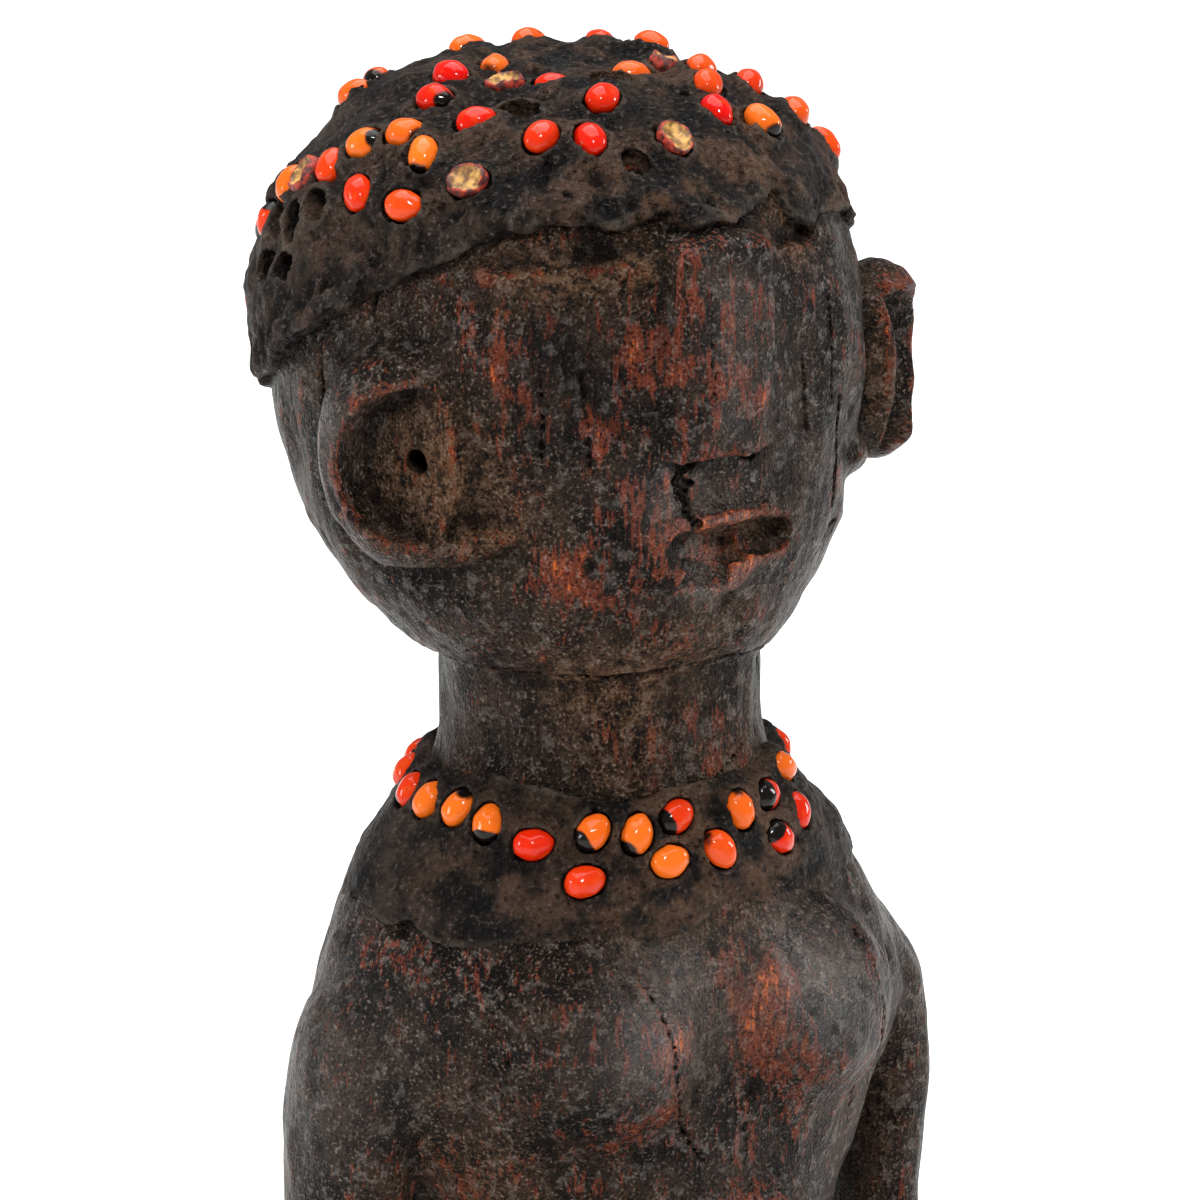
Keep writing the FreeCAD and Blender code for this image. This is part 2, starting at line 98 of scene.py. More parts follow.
class Field:
    """Distances to a body on a regular block of points, in millimetres, below zero inside it."""

    BAND = 5.0

    def __init__(self, low, high, cell):
        self.cell = cell
        self.low = np.floor(np.array(low) / cell).astype(int)
        self.shape = np.ceil(np.array(high) / cell).astype(int) - self.low + 1
        self.values = np.full(self.shape, self.BAND, np.float32)

    def fill(self, node):
        """Takes the body from the mesh of a CAD node."""
        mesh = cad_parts[node].data
        points = np.empty(len(mesh.vertices) * 3, np.float32)
        mesh.vertices.foreach_get("co", points)
        mesh.calc_loop_triangles()
        corners = np.empty(len(mesh.loop_triangles) * 3, np.int32)
        mesh.loop_triangles.foreach_get("vertices", corners)
        grid = openvdb.FloatGrid.createLevelSetFromPolygons(
            points.reshape(-1, 3) / MM, triangles=corners.reshape(-1, 3).astype(np.uint32),
            transform=openvdb.createLinearTransform(self.cell), halfWidth=self.BAND / self.cell)
        grid.copyToArray(self.values, ijk=tuple(int(n) for n in self.low))

    def blank(self):
        """Another block on the same points, still without a body."""
        made = Field.__new__(Field)
        made.cell, made.low, made.shape = self.cell, self.low, self.shape
        return made

    def axes(self, slices=(slice(None),) * 3):
        """Coordinates along X, Y and Z, ready to broadcast."""
        lines = [(np.arange(n)[s] + o) * self.cell for n, s, o in zip(self.shape, slices, self.low)]
        return np.meshgrid(*[line.astype(np.float32) for line in lines], indexing="ij", sparse=True)

    def window(self, centre, reach):
        low = np.floor((np.array(centre) - reach) / self.cell).astype(int) - self.low
        high = np.ceil((np.array(centre) + reach) / self.cell).astype(int) - self.low + 1
        return tuple(slice(int(a), int(b)) for a, b in zip(np.maximum(low, 0), np.minimum(high, self.shape)))

    def merge(self, centre, reach, distance, blend=0.0, hollow=False):
        """Adds a shape to the body near a place, or takes it away."""
        slices = self.window(centre, reach)
        here = self.values[slices]
        if not here.size:
            return
        shape = distance(*self.axes(slices))
        self.values[slices] = -soft_min(-here, shape, blend) if hollow else soft_min(here, shape, blend)

    def ball(self, centre, radii, blend=0.0, hollow=False, turn=None):
        """An ellipsoid with half axes along X, Y and Z, turned about its middle by a matrix."""
        radii = np.array(radii, np.float32)
        turn = np.eye(3) if turn is None else np.array(turn)

        def distance(x, y, z):
            local = [along_axis(axis, centre, x, y, z) for axis in turn.T]
            near = np.sqrt(sum((u / r) ** 2 for u, r in zip(local, radii)))
            slope = np.sqrt(sum((u / r ** 2) ** 2 for u, r in zip(local, radii)))
            return near * (near - 1) / np.maximum(slope, 1e-4)
        self.merge(centre, max(radii) + blend + 2, distance, blend, hollow)

    def block(self, centre, half, rounding, blend=0.0, hollow=False, turn=None):
        """A box with rounded edges, turned about its middle by a matrix."""
        turn = np.eye(3) if turn is None else np.array(turn)
        inner = [h - rounding for h in half]

        def distance(x, y, z):
            local = [along_axis(axis, centre, x, y, z) for axis in turn.T]
            past = [np.abs(u) - h for u, h in zip(local, inner)]
            outside = np.sqrt(sum(np.maximum(u, 0) ** 2 for u in past))
            inside = np.minimum(np.maximum(np.maximum(past[0], past[1]), past[2]), 0)
            return outside + inside - rounding
        self.merge(centre, float(np.linalg.norm(half)) + blend + 2, distance, blend, hollow)

    def rod(self, start, end, radius, blend=0.0, hollow=False):
        """A straight rod with round ends."""
        start, end = np.array(start), np.array(end)
        reach = end - start
        length = max(float(reach @ reach), 1e-6)

        def distance(x, y, z):
            share = np.clip(along_axis(reach, start, x, y, z) / length, 0, 1)
            gap = [u - s - share * a for u, s, a in zip((x, y, z), start, reach)]
            return np.sqrt(sum(g ** 2 for g in gap)) - radius
        self.merge((start + end) / 2, math.sqrt(length) / 2 + radius + blend + 1.5, distance, blend, hollow)

    def blur(self, width):
        """Rounds the body's edges off over about the given width."""
        reach = int(math.ceil(width * 2 / self.cell))
        taps = np.exp(-0.5 * (np.arange(-reach, reach + 1) * self.cell / width) ** 2)
        taps = (taps / taps.sum()).astype(np.float32)
        block = self.values
        for axis in range(3):
            padded = np.pad(block, [(reach, reach) if a == axis else (0, 0) for a in range(3)], mode="edge")
            total = np.zeros_like(block)
            for number, tap in enumerate(taps):
                cut = [slice(None)] * 3
                cut[axis] = slice(number, number + block.shape[axis])
                total += tap * padded[tuple(cut)]
            block = total
        self.values = block

    def noise(self, size, seed):
        """Smooth noise with a spread of one, whose blobs are as large as size says along X, Y and Z."""
        rows = [spline_weights(np.arange(n) * self.cell / s) for n, s in zip(self.shape, size)]
        knots = np.random.default_rng(seed).standard_normal([r.shape[1] for r in rows]).astype(np.float32)
        first = np.tensordot(rows[0], knots, (1, 0))
        second = np.tensordot(first, rows[1], (1, 1)).transpose(0, 2, 1)
        cloud = np.tensordot(second, rows[2], (2, 1)).astype(np.float32)
        return cloud / cloud.std()

    def at(self, points):
        """The distance at each of some points, taken from the nearest cell."""
        index = np.rint(np.atleast_2d(points) / self.cell).astype(int) - self.low
        index = np.clip(index, 0, self.shape - 1)
        return self.values[index[:, 0], index[:, 1], index[:, 2]]

    def out_from(self, start, direction, reach=90.0):
        """Where a line from inside leaves the body for the last time."""
        steps = np.arange(0, reach, self.cell / 2)
        line = np.array(start) + steps[:, None] * np.array(direction)
        inside = np.flatnonzero(self.at(line) < 0)
        return line[inside[-1]] if len(inside) else line[0]

    def front(self, x, z):
        """The foremost point of the body at a place on the face or chest."""
        return self.out_from((x, AXIS_Y, z), (0, -1, 0))

    def side(self, bearing, z, middle_y=None):
        """The outermost point in a compass direction, counted from the face towards the doll's left."""
        turn = math.radians(bearing)
        start = (0, AXIS_Y if middle_y is None else middle_y, z)
        return self.out_from(start, (math.sin(turn), -math.cos(turn), 0))

    def normal(self, point):
        step = self.cell * 2
        slope = [self.at(point + step * axis)[0] - self.at(point - step * axis)[0] for axis in np.eye(3)]
        return np.array(slope) / max(float(np.linalg.norm(slope)), 1e-6)

    def crack(self, stops, width, depth, seed, wander=0.25):
        """A narrow slit that follows stops on the body's face."""
        rng = np.random.default_rng(seed)
        stops = np.array(stops)
        for a, b in zip(stops[:-1], stops[1:]):
            count = max(int(np.linalg.norm(b - a) / 0.5), 1)
            for number in range(count):
                point = a + (b - a) * number / count + rng.normal(0, wander, 3)
                inward = -self.normal(point)
                size = width / 2 * rng.uniform(0.7, 1.2)
                bottom = point + inward * depth * rng.uniform(0.6, 1.0)
                self.rod(point - inward * 1.0, bottom, size, hollow=True)

    def mesh(self, name):
        """The body's surface as vertices and triangles."""
        clipped = np.clip(self.values, -3 * self.cell, 3 * self.cell)
        grid = openvdb.FloatGrid(3 * self.cell)
        grid.copyFromArray(clipped, ijk=tuple(int(n) for n in self.low))
        grid.transform = openvdb.createLinearTransform(self.cell)
        points, triangles, quads = grid.convertToPolygons(isovalue=0.0, adaptivity=0.0)
        halves = [quads[:, [0, 1, 2]], quads[:, [0, 2, 3]]]
        faces = np.concatenate([triangles.reshape(-1, 3), *halves]).astype(np.int32)
        a, b, c = (points[faces[:, n]] for n in range(3))
        if np.einsum("ij,ij->", a, np.cross(b, c)) < 0:
            faces = faces[:, ::-1]
        return surface(name, points * MM, faces)


def surface(name, points, faces):
    """A mesh object from arrays of points in metres and of triangles."""
    mesh = bpy.data.meshes.new(name)
    mesh.vertices.add(len(points))
    mesh.vertices.foreach_set("co", np.ascontiguousarray(points, np.float32).ravel())
    mesh.loops.add(len(faces) * 3)
    mesh.loops.foreach_set("vertex_index", np.ascontiguousarray(faces, np.int32).ravel())
    mesh.polygons.add(len(faces))
    mesh.polygons.foreach_set("loop_start", np.arange(0, len(faces) * 3, 3, dtype=np.int32))
    mesh.update(calc_edges=True)
    mesh.validate()
    piece = bpy.data.objects.new(name, mesh)
    bpy.context.scene.collection.objects.link(piece)
    return piece


def baked(piece):
    """Replaces a piece's mesh with what its modifiers make of it."""
    depsgraph = bpy.context.evaluated_depsgraph_get()
    mesh = bpy.data.meshes.new_from_object(piece.evaluated_get(depsgraph))
    mesh.name = piece.name
    piece.modifiers.clear()
    old = piece.data
    piece.data = mesh
    bpy.data.meshes.remove(old)
    return piece


def thinned(piece, triangles):
    """Brings a piece down to about a number of triangles, fewest where it is flat."""
    count = len(piece.data.polygons)
    if count > triangles:
        thin = piece.modifiers.new("thin", "DECIMATE")
        thin.ratio = triangles / count
        baked(piece)
    return piece


def points_of(piece, what="co"):
    values = np.empty(len(piece.data.vertices) * 3, np.float32)
    piece.data.vertices.foreach_get(what, values)
    return values.reshape(-1, 3)


def mark(piece, name, values):
    """Stores one number at each vertex for a material to read."""
    attribute = piece.data.attributes.new(name, "FLOAT", "POINT")
    attribute.data.foreach_set("value", np.ascontiguousarray(values, np.float32))


def blobs(points, places):
    """Soft spots of given centre, radius and strength, summed at each point."""
    total = np.zeros(len(points), np.float32)
    for x, y, z, radius, strength in places:
        gap = (points - np.array([x, y + AXIS_Y, z], np.float32)) / radius
        total += strength * np.exp(-np.einsum("ij,ij->i", gap, gap))
    return total


def nearest(points, sites):
    """The distance from each point to the closest site."""
    result = np.empty(len(points), np.float32)
    batch = 20000
    for start in range(0, len(points), batch):
        part = points[start:start + batch]
        gap = (part ** 2).sum(1)[:, None] + (sites ** 2).sum(1)[None] - 2 * part @ sites.T
        result[start:start + batch] = np.sqrt(np.maximum(gap.min(1), 0))
    return result


def sharpness(piece, field, width):
    """How far each point stands out over its surroundings; below zero in hollows."""
    coarse = Field.__new__(Field)
    coarse.cell, coarse.low = field.cell * 2, (field.low + 1) // 2
    start = coarse.low * 2 - field.low
    coarse.values = field.values[start[0]::2, start[1]::2, start[2]::2].copy()
    coarse.shape = np.array(coarse.values.shape)
    coarse.blur(width)
    points = points_of(piece) / MM / coarse.cell - coarse.low
    points = np.clip(points, 0, coarse.shape - 1.001)
    whole = points.astype(int)
    part = points - whole
    total = np.zeros(len(points), np.float32)
    for corner in np.ndindex(2, 2, 2):
        share = np.prod(np.where(corner, part, 1 - part), axis=1)
        total += share * coarse.values[tuple((whole + corner).T)]
    return total


def chiselled(piece, spacing, depth, seed):
    """Presses shallow scoops into a carved face, as a small adze leaves them."""
    points = points_of(piece) / MM
    normals = points_of(piece, "normal")
    rng = np.random.default_rng(seed)
    area = sum(polygon.area for polygon in piece.data.polygons) / MM ** 2
    sites = points[rng.choice(len(points), int(area / spacing ** 2), replace=False)]
    sites = sites + rng.normal(0, 0.3, sites.shape)
    gap = nearest(points * (1, 1, 0.6), (sites * (1, 1, 0.6)).astype(np.float32))
    lift = np.minimum((gap / (spacing * 0.6)) ** 2, 1.6) - 0.7
    points += normals * (depth * lift)[:, None]
    piece.data.vertices.foreach_set("co", (points * MM).astype(np.float32).ravel())
    piece.data.update()


# ---------------------------------------------------------------- materials

def linear(hexcode):
    """An sRGB colour such as "d8281c" as linear red, green, blue and alpha."""
    values = [int(hexcode[n:n + 2], 16) / 255 for n in (0, 2, 4)]
    return (*[v / 12.92 if v <= 0.04045 else ((v + 0.055) / 1.055) ** 2.4 for v in values], 1.0)


def node(tree, kind, inputs=(), out=None, **settings):
    """Adds a node, sets it up, and fills its inputs with values or with outputs of other nodes.

    It gives back the output that out names or numbers, or the whole node where out is left out.
    """
    made = tree.nodes.new(kind)
    for name, value in settings.items():
        setattr(made, name, value)
    for name, value in dict(inputs).items():
        if isinstance(value, bpy.types.NodeSocket):
            tree.links.new(value, made.inputs[name])
        else:
            made.inputs[name].default_value = value
    return made if out is None else made.outputs[out]


def material(name):
    """An empty material with its output and its shader."""
    made = bpy.data.materials.new(name)
    made.use_nodes = True
    made.node_tree.nodes.clear()
    tree = made.node_tree
    shader = node(tree, "ShaderNodeBsdfPrincipled")
    node(tree, "ShaderNodeOutputMaterial", {"Surface": shader.outputs[0]})
    return made, tree, shader


def mottles(tree, *patterns):
    """Mottled patterns, each with its coordinates, the width of its blobs, its detail and its roughness."""
    return [node(tree, "ShaderNodeTexNoise",
                 {"Vector": place, "Scale": 1 / width, "Detail": detail, "Roughness": rough}, 0)
            for place, width, detail, rough in patterns]


def painted(tree, colour, *coats):
    """Lays coats over a colour; each follows a pattern, from where it starts to where it is full."""
    for pattern, start, full, strength, tint in coats:
        share = node(tree, "ShaderNodeMapRange",
                     {"Value": pattern, "From Min": start, "From Max": full, "To Max": strength}, 0,
                     interpolation_type="SMOOTHSTEP")
        colour = node(tree, "ShaderNodeMix", {0: share, 6: colour, 7: linear(tint)}, 2, data_type="RGBA")
    return colour


def summed(tree, first, *terms):
    """A pattern or number, plus each further pattern times its weight."""
    for pattern, weight in terms:
        first = node(tree, "ShaderNodeMath", {0: pattern, 1: weight, 2: first}, 0, operation="MULTIPLY_ADD")
    return first


def smoked_hardwood(settings):
    """Dense carved hardwood, blackened by smoke and oil and rubbed back to red-brown by hands.

    It is near black with a satin skin, which shows as grey along the sides; edges that hands
    reach are worn to red-brown wood, and dust and clay lie ochre in the hollows. Hollows and
    creases are also painted near black as shade.
    """
    made, tree, shader = material("smoked_hardwood")
    place = node(tree, "ShaderNodeTexCoord").outputs["Object"]
    # The fibres run up the figure, and torn flakes are drawn out along them.
    upright, drawn = (node(tree, "ShaderNodeMapping", {"Vector": place, "Scale": (1.0, 1.0, squeeze)}, 0)
                      for squeeze in (0.16, 0.5))
    # Grit is drawn twice as coarse as it is, so that it shows.
    broad, fine, fibre, grit, flake = mottles(
        tree, (place, 11.0 * MM, 4.0, 0.6), (place, 2.2 * MM, 4.0, 0.6), (upright, 0.8 * MM, 3.0, 0.65),
        (place, 0.55 * MM, 2.0, 0.6), (drawn, 2.6 * MM, 4.0, 0.65))
    worn, clay, polish, hollow = (node(tree, "ShaderNodeAttribute", out="Fac", attribute_name=name)
                                  for name in ("worn", "clay", "polish", "hollow"))

    bare = summed(tree, 0.0, (fibre, 0.55), (flake, 0.45), (worn, 0.155))
    colour = painted(
        tree, linear(settings.black),
        (broad, 0.38, 0.66, 1.0, settings.brown), (fine, 0.52, 0.70, 0.50, "463d37"),
        (bare, 0.585, 0.66, 1.0, settings.worn), (bare, 0.71, 0.83, 1.0, settings.fresh),
        (fine, 0.36, 0.60, clay, settings.clay),
        (grit, 0.56, 0.74, 0.60, "7d6e62"), (grit, 0.47, 0.32, 0.90, "040303"))
    # Painted shade: the hollow attribute darkens hollows, creases and shaded spots towards near black.
    painted_shade = summed(tree, 0.0, (hollow, 0.85))
    colour = node(tree, "ShaderNodeMix", {0: painted_shade, 6: colour, 7: linear("050404")}, 2, data_type="RGBA")
    tree.links.new(colour, shader.inputs["Base Color"])

    satin, shine = (
        node(tree, "ShaderNodeMapRange",
             {"Value": fine, "From Min": start, "From Max": full, "To Min": low, "To Max": high}, 0,
             interpolation_type="SMOOTHSTEP")
        for start, full, low, high in ((0.30, 0.72, 0.25, 0.45), (0.50, 0.68, 0.07, 0.39)))
    tree.links.new(summed(tree, satin, (clay, 0.30), (polish, -0.17)), shader.inputs["Roughness"])
    tree.links.new(summed(tree, shine, (polish, 0.45)), shader.inputs["Specular IOR Level"])
    shader.inputs["IOR"].default_value = 1.45
    relief = summed(tree, 0.0, (fine, 0.7), (fibre, 0.4), (grit, 0.35))
    bump = node(tree, "ShaderNodeBump", {"Height": relief, "Strength": 1.0, "Distance": 1.7 * MM}, 0)
    tree.links.new(bump, shader.inputs["Normal"])
    return made


def plant_resin(settings):
    """Hard black tree resin mixed with charcoal and grit, pressed on by hand.

    It is matt charcoal with a pitted, crumbly face, lighter and browner where dust has settled;
    its hollows are painted near black as shade.
    """
    made, tree, shader = material("charcoal_tree_resin")
    place = node(tree, "ShaderNodeTexCoord").outputs["Object"]
    broad, grit = mottles(tree, (place, 9.0 * MM, 4.0, 0.6), (place, 0.9 * MM, 3.0, 0.65))
    pits = node(tree, "ShaderNodeTexVoronoi", {"Vector": place, "Scale": 1 / (1.6 * MM)}, "Distance")
    dust, edge = (node(tree, "ShaderNodeAttribute", out="Fac", attribute_name=name)
                  for name in ("dust", "edge"))
    colour = painted(
        tree, linear(settings.dark),
        (broad, 0.38, 0.64, 1.0, settings.light), (broad, 0.40, 0.62, dust, settings.dust),
        # Ridges are lightened a little grey; hollows are painted near black as shade.
        (edge, 0.15, 0.9, 0.25, "62564c"), (edge, -0.08, -0.6, 0.85, "050404"),
        (grit, 0.56, 0.74, 0.30, "6e5f53"), (grit, 0.46, 0.32, 0.90, "040303"))
    tree.links.new(colour, shader.inputs["Base Color"])
    for socket, start, full, low, high in (("Roughness", 0.3, 0.7, 0.34, 0.58),
                                           ("Specular IOR Level", 0.50, 0.70, 0.06, 0.22)):
        grain = node(tree, "ShaderNodeMapRange",
                     {"Value": grit, "From Min": start, "From Max": full, "To Min": low, "To Max": high}, 0,
                     interpolation_type="SMOOTHSTEP")
        tree.links.new(grain, shader.inputs[socket])
    relief = summed(tree, grit, (pits, 0.5))
    bump = node(tree, "ShaderNodeBump", {"Height": relief, "Strength": 1.0, "Distance": 1.5 * MM}, 0)
    tree.links.new(bump, shader.inputs["Normal"])
    return made


def rosary_pea(settings):
    """Rosary pea seeds: a hard, naturally polished scarlet coat with a black eye at one end."""
    made, tree, shader = material("rosary_pea_coat")
    place = node(tree, "ShaderNodeTexCoord").outputs["Object"]
    smudge, = mottles(tree, (place, 2.4 * MM, 3.0, 0.55))
    tone, eye = (node(tree, "ShaderNodeAttribute", out="Fac", attribute_name=name)
                 for name in ("tone", "eye"))
    colour = node(tree, "ShaderNodeMix", {0: tone, 6: linear(settings.red), 7: linear(settings.orange)}, 2,
                  data_type="RGBA")
    edge = summed(tree, eye, (smudge, 0.14))
    colour = painted(
        tree, colour, (smudge, 0.52, 0.70, 0.22, settings.orange),
        (smudge, 0.66, 0.78, 1.0, "6a1a10"), (edge, 0.60, 0.68, 1.0, "0d0908"))
    tree.links.new(colour, shader.inputs["Base Color"])
    tree.links.new(summed(tree, 0.05, (smudge, 0.14)), shader.inputs["Roughness"])
    shader.inputs["Specular IOR Level"].default_value = 0.20
    shader.inputs["Subsurface Weight"].default_value = 0.05
    shader.inputs["Subsurface Scale"].default_value = 0.8 * MM
    return made


def broken_pea(settings):
    """A rosary pea whose face has broken off: a thin dull red hull round a dry tan kernel."""
    made, tree, shader = material("broken_rosary_pea")
    place = node(tree, "ShaderNodeTexCoord").outputs["Object"]
    crumbs, = mottles(tree, (place, 1.3 * MM, 4.0, 0.6))
    inside = node(tree, "ShaderNodeAttribute", out="Fac", attribute_name="inside")
    kernel = painted(tree, linear("5f3d1c"), (crumbs, 0.38, 0.66, 1.0, settings.kernel))
    hull = painted(tree, linear("3a0f0b"), (crumbs, 0.40, 0.62, 1.0, "9c2c16"))
    colour = node(tree, "ShaderNodeMix", {0: inside, 6: hull, 7: kernel}, 2, data_type="RGBA")
    tree.links.new(colour, shader.inputs["Base Color"])
    shader.inputs["Roughness"].default_value = 0.62
    bump = node(tree, "ShaderNodeBump", {"Height": crumbs, "Strength": 0.6, "Distance": 0.3 * MM}, 0)
    tree.links.new(bump, shader.inputs["Normal"])
    return made


def seamless_paper(settings):
    """Matt white background paper."""
    made, tree, shader = material("white_background_paper")
    shader.inputs["Base Color"].default_value = linear(settings.paper)
    shader.inputs["Roughness"].default_value = 0.95
    return made


# ---------------------------------------------------------------- seeds

def own_axes(points, faces):
    """The middle of a closed lump and its long direction, from the mesh alone."""
    corners = points[faces]
    area = np.linalg.norm(np.cross(corners[:, 1] - corners[:, 0], corners[:, 2] - corners[:, 0]), axis=1)
    middle = corners.mean(1)
    centre = (middle * area[:, None]).sum(0) / area.sum()
    gap = middle - centre
    spread = np.einsum("i,ij,ik->jk", area, gap, gap)
    return centre, np.linalg.eigh(spread)[1][:, 2]


def lumps(name):
    """The separate lumps of a CAD node, each as its middle and its long direction, in millimetres."""
    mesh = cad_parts[name].data
    points = np.empty(len(mesh.vertices) * 3, np.float32)
    mesh.vertices.foreach_get("co", points)
    points = points.reshape(-1, 3) / MM
    mesh.calc_loop_triangles()
    faces = np.empty(len(mesh.loop_triangles) * 3, np.int32)
    mesh.loop_triangles.foreach_get("vertices", faces)
    unique, same = np.unique(np.round(points, 3), axis=0, return_inverse=True)
    faces = same.reshape(-1)[faces.reshape(-1, 3)]
    group = np.arange(len(unique))
    while True:
        lowest = group[faces].min(1)
        before = group.copy()
        for corner in range(3):
            np.minimum.at(group, faces[:, corner], lowest)
        group = group[group]
        if (group == before).all():
            break
    owner = group[faces[:, 0]]
    return [own_axes(unique, faces[owner == number]) for number in np.unique(owner)]


def outward(centre, name):
    """The direction out of the resin at a seed."""
    middle = HEAD_MIDDLE if name.startswith("cap") else np.array([0.0, AXIS_Y, centre[2] - 4.0])
    away = centre - middle
    return away / np.linalg.norm(away)


def half_sizes(settings):
    """Half a seed's length, width and thickness in millimetres."""
    return np.array([settings.length, settings.width, settings.thickness]) / MM / 2


def seed_axes(out, along):
    """A seed's own directions along, across and out, as rows."""
    across = np.cross(out, along)
    across /= np.linalg.norm(across)
    return np.array([along, across, np.cross(along, across)])


def tangent(centre, name, angle):
    """A direction in the resin's face at a seed: 0 is to the doll's left, 90 is up."""
    out = outward(centre, name)
    east = np.cross((0, 0, 1), out)
    east /= np.linalg.norm(east)
    north = np.cross(out, east)
    return east * math.cos(math.radians(angle)) + north * math.sin(math.radians(angle))


# how orange each coat is, where its black eye points (0 to the doll's left, 90 up, None hidden)
# and how large the eye is
SEED_LOOKS = {
    "cap_seed_01": (0.05, -10, 0.35), "cap_seed_02": (0.75, -40, 0.30), "cap_seed_03": (0.95, 25, 0.35),
    "cap_seed_04": (1.0, -110, 0.35), "cap_seed_05": (0.35, 200, 0.30), "cap_seed_06": (0.15, None, 0.3),
    "cap_seed_07": (0.25, 110, 0.30), "cap_seed_08": (0.85, None, 0.3), "cap_seed_09": (0.25, 90, 0.4),
    "cap_seed_10": (0.80, 0, 0.25), "cap_seed_11": (0.0, None, 0.3), "cap_seed_12": (0.65, None, 0.3),
    "cap_seed_13": (0.1, None, 0.3), "cap_seed_14": (0.05, None, 0.3), "cap_seed_15": (0.15, None, 0.3),
    "cap_seed_16": (0.90, 200, 0.35), "cap_seed_17": (0.45, None, 0.3), "cap_seed_18": (0.35, None, 0.3),
    "cap_seed_19": (0.2, 0, 0.4), "cap_seed_20": (0.5, 0, 0.35), "cap_seed_21": (0.1, None, 0.3),
    "cap_seed_22": (0.05, None, 0.3), "cap_seed_23": (0.0, None, 0.3),
    "collar_seed_01": (0.2, 180, 0.5), "collar_seed_02": (0.95, 200, 0.25), "collar_seed_03": (1.0, 90, 0.30),
    "collar_seed_04": (0.95, -90, 0.55), "collar_seed_05": (0.1, None, 0.3), "collar_seed_06": (0.8, 190, 0.55),
    "collar_seed_07": (0.2, None, 0.3), "collar_seed_08": (0.95, 200, 0.35), "collar_seed_09": (0.95, 0, 0.25),
    "collar_seed_10": (0.2, 180, 0.6), "collar_seed_11": (0.45, 200, 0.25), "collar_seed_12": (0.75, 90, 0.25),
    "collar_seed_13": (0.1, 150, 0.9), "collar_seed_14": (0.1, 100, 0.6), "collar_seed_15": (0.1, 0, 0.5),
    "collar_seed_16": (0.85, -60, 0.5), "collar_seed_17": (0.2, 90, 0.3),
}


def seeds_tree():
    """Geometry nodes that put one lumpy seed on every vertex, turned as its "turn" says."""
    tree = bpy.data.node_groups.new("seeds_on_places", "GeometryNodeTree")
    face = tree.interface
    face.new_socket("Places", in_out="INPUT", socket_type="NodeSocketGeometry")
    for name, default in (("Length", 6.8), ("Width", 5.4), ("Thickness", 5.0), ("Unevenness", 0.16)):
        socket = face.new_socket(name, in_out="INPUT", socket_type="NodeSocketFloat")
        socket.default_value = default * MM
    face.new_socket("Coat", in_out="INPUT", socket_type="NodeSocketMaterial")
    face.new_socket("Seeds", in_out="OUTPUT", socket_type="NodeSocketGeometry")
    given = node(tree, "NodeGroupInput").outputs
    ball = node(tree, "GeometryNodeMeshIcoSphere", {"Radius": 0.5, "Subdivisions": 4}, "Mesh")
    size = node(tree, "ShaderNodeCombineXYZ",
                {"X": given["Length"], "Y": given["Width"], "Z": given["Thickness"]}, 0)
    where = node(tree, "GeometryNodeInputPosition", out=0)
    along = node(tree, "ShaderNodeSeparateXYZ", {0: where}, "X")
    # One end is a little narrower than the other, as on a real pea.
    taper = node(tree, "ShaderNodeMapRange",
                 {"Value": along, "From Min": -0.5, "From Max": 0.5, "To Min": 0.90, "To Max": 1.04}, 0)
    narrow = node(tree, "ShaderNodeCombineXYZ", {"X": 1.0, "Y": taper, "Z": taper}, 0)
    shaped = node(tree, "ShaderNodeVectorMath", {0: where, 1: narrow}, 0, operation="MULTIPLY")
    scaled = node(tree, "ShaderNodeVectorMath", {0: shaped, 1: size}, 0, operation="MULTIPLY")
    pea = node(tree, "GeometryNodeSetPosition", {"Geometry": ball, "Position": scaled}, 0)
    turn = node(tree, "GeometryNodeInputNamedAttribute", {"Name": "turn"}, "Attribute",
                data_type="QUATERNION")
    spread = node(tree, "GeometryNodeInstanceOnPoints",
                  {"Points": given["Places"], "Instance": pea, "Rotation": turn}, 0)
    real = node(tree, "GeometryNodeRealizeInstances", {0: spread}, 0)
    # Dents of about a third of a seed, so that no two seeds are alike.
    wave = node(tree, "ShaderNodeTexNoise", {"Scale": 1 / (2.6 * MM), "Detail": 1.0}, 0)
    centred = node(tree, "ShaderNodeMath", {0: wave, 1: 0.5}, 0, operation="SUBTRACT")
    amount = node(tree, "ShaderNodeMath", {0: centred, 1: given["Unevenness"]}, 0, operation="MULTIPLY")
    lift = node(tree, "ShaderNodeMath", {0: amount, 1: 4.0}, 0, operation="MULTIPLY")
    normal = node(tree, "GeometryNodeInputNormal", out=0)
    push = node(tree, "ShaderNodeVectorMath", {0: normal, 3: lift}, 0, operation="SCALE")
    dented = node(tree, "GeometryNodeSetPosition", {"Geometry": real, "Offset": push}, 0)
    smooth = node(tree, "GeometryNodeSetShadeSmooth", {0: dented}, 0)
    coated = node(tree, "GeometryNodeSetMaterial", {"Geometry": smooth, "Material": given["Coat"]}, 0)
    node(tree, "NodeGroupOutput", {0: coated})
    return tree


def set_inputs(modifier, values):
    """Sets a geometry nodes modifier's inputs, found by their names."""
    for item in modifier.node_group.interface.items_tree:
        if item.item_type == "SOCKET" and item.in_out == "INPUT" and item.name in values:
            modifier[item.identifier] = values[item.name]


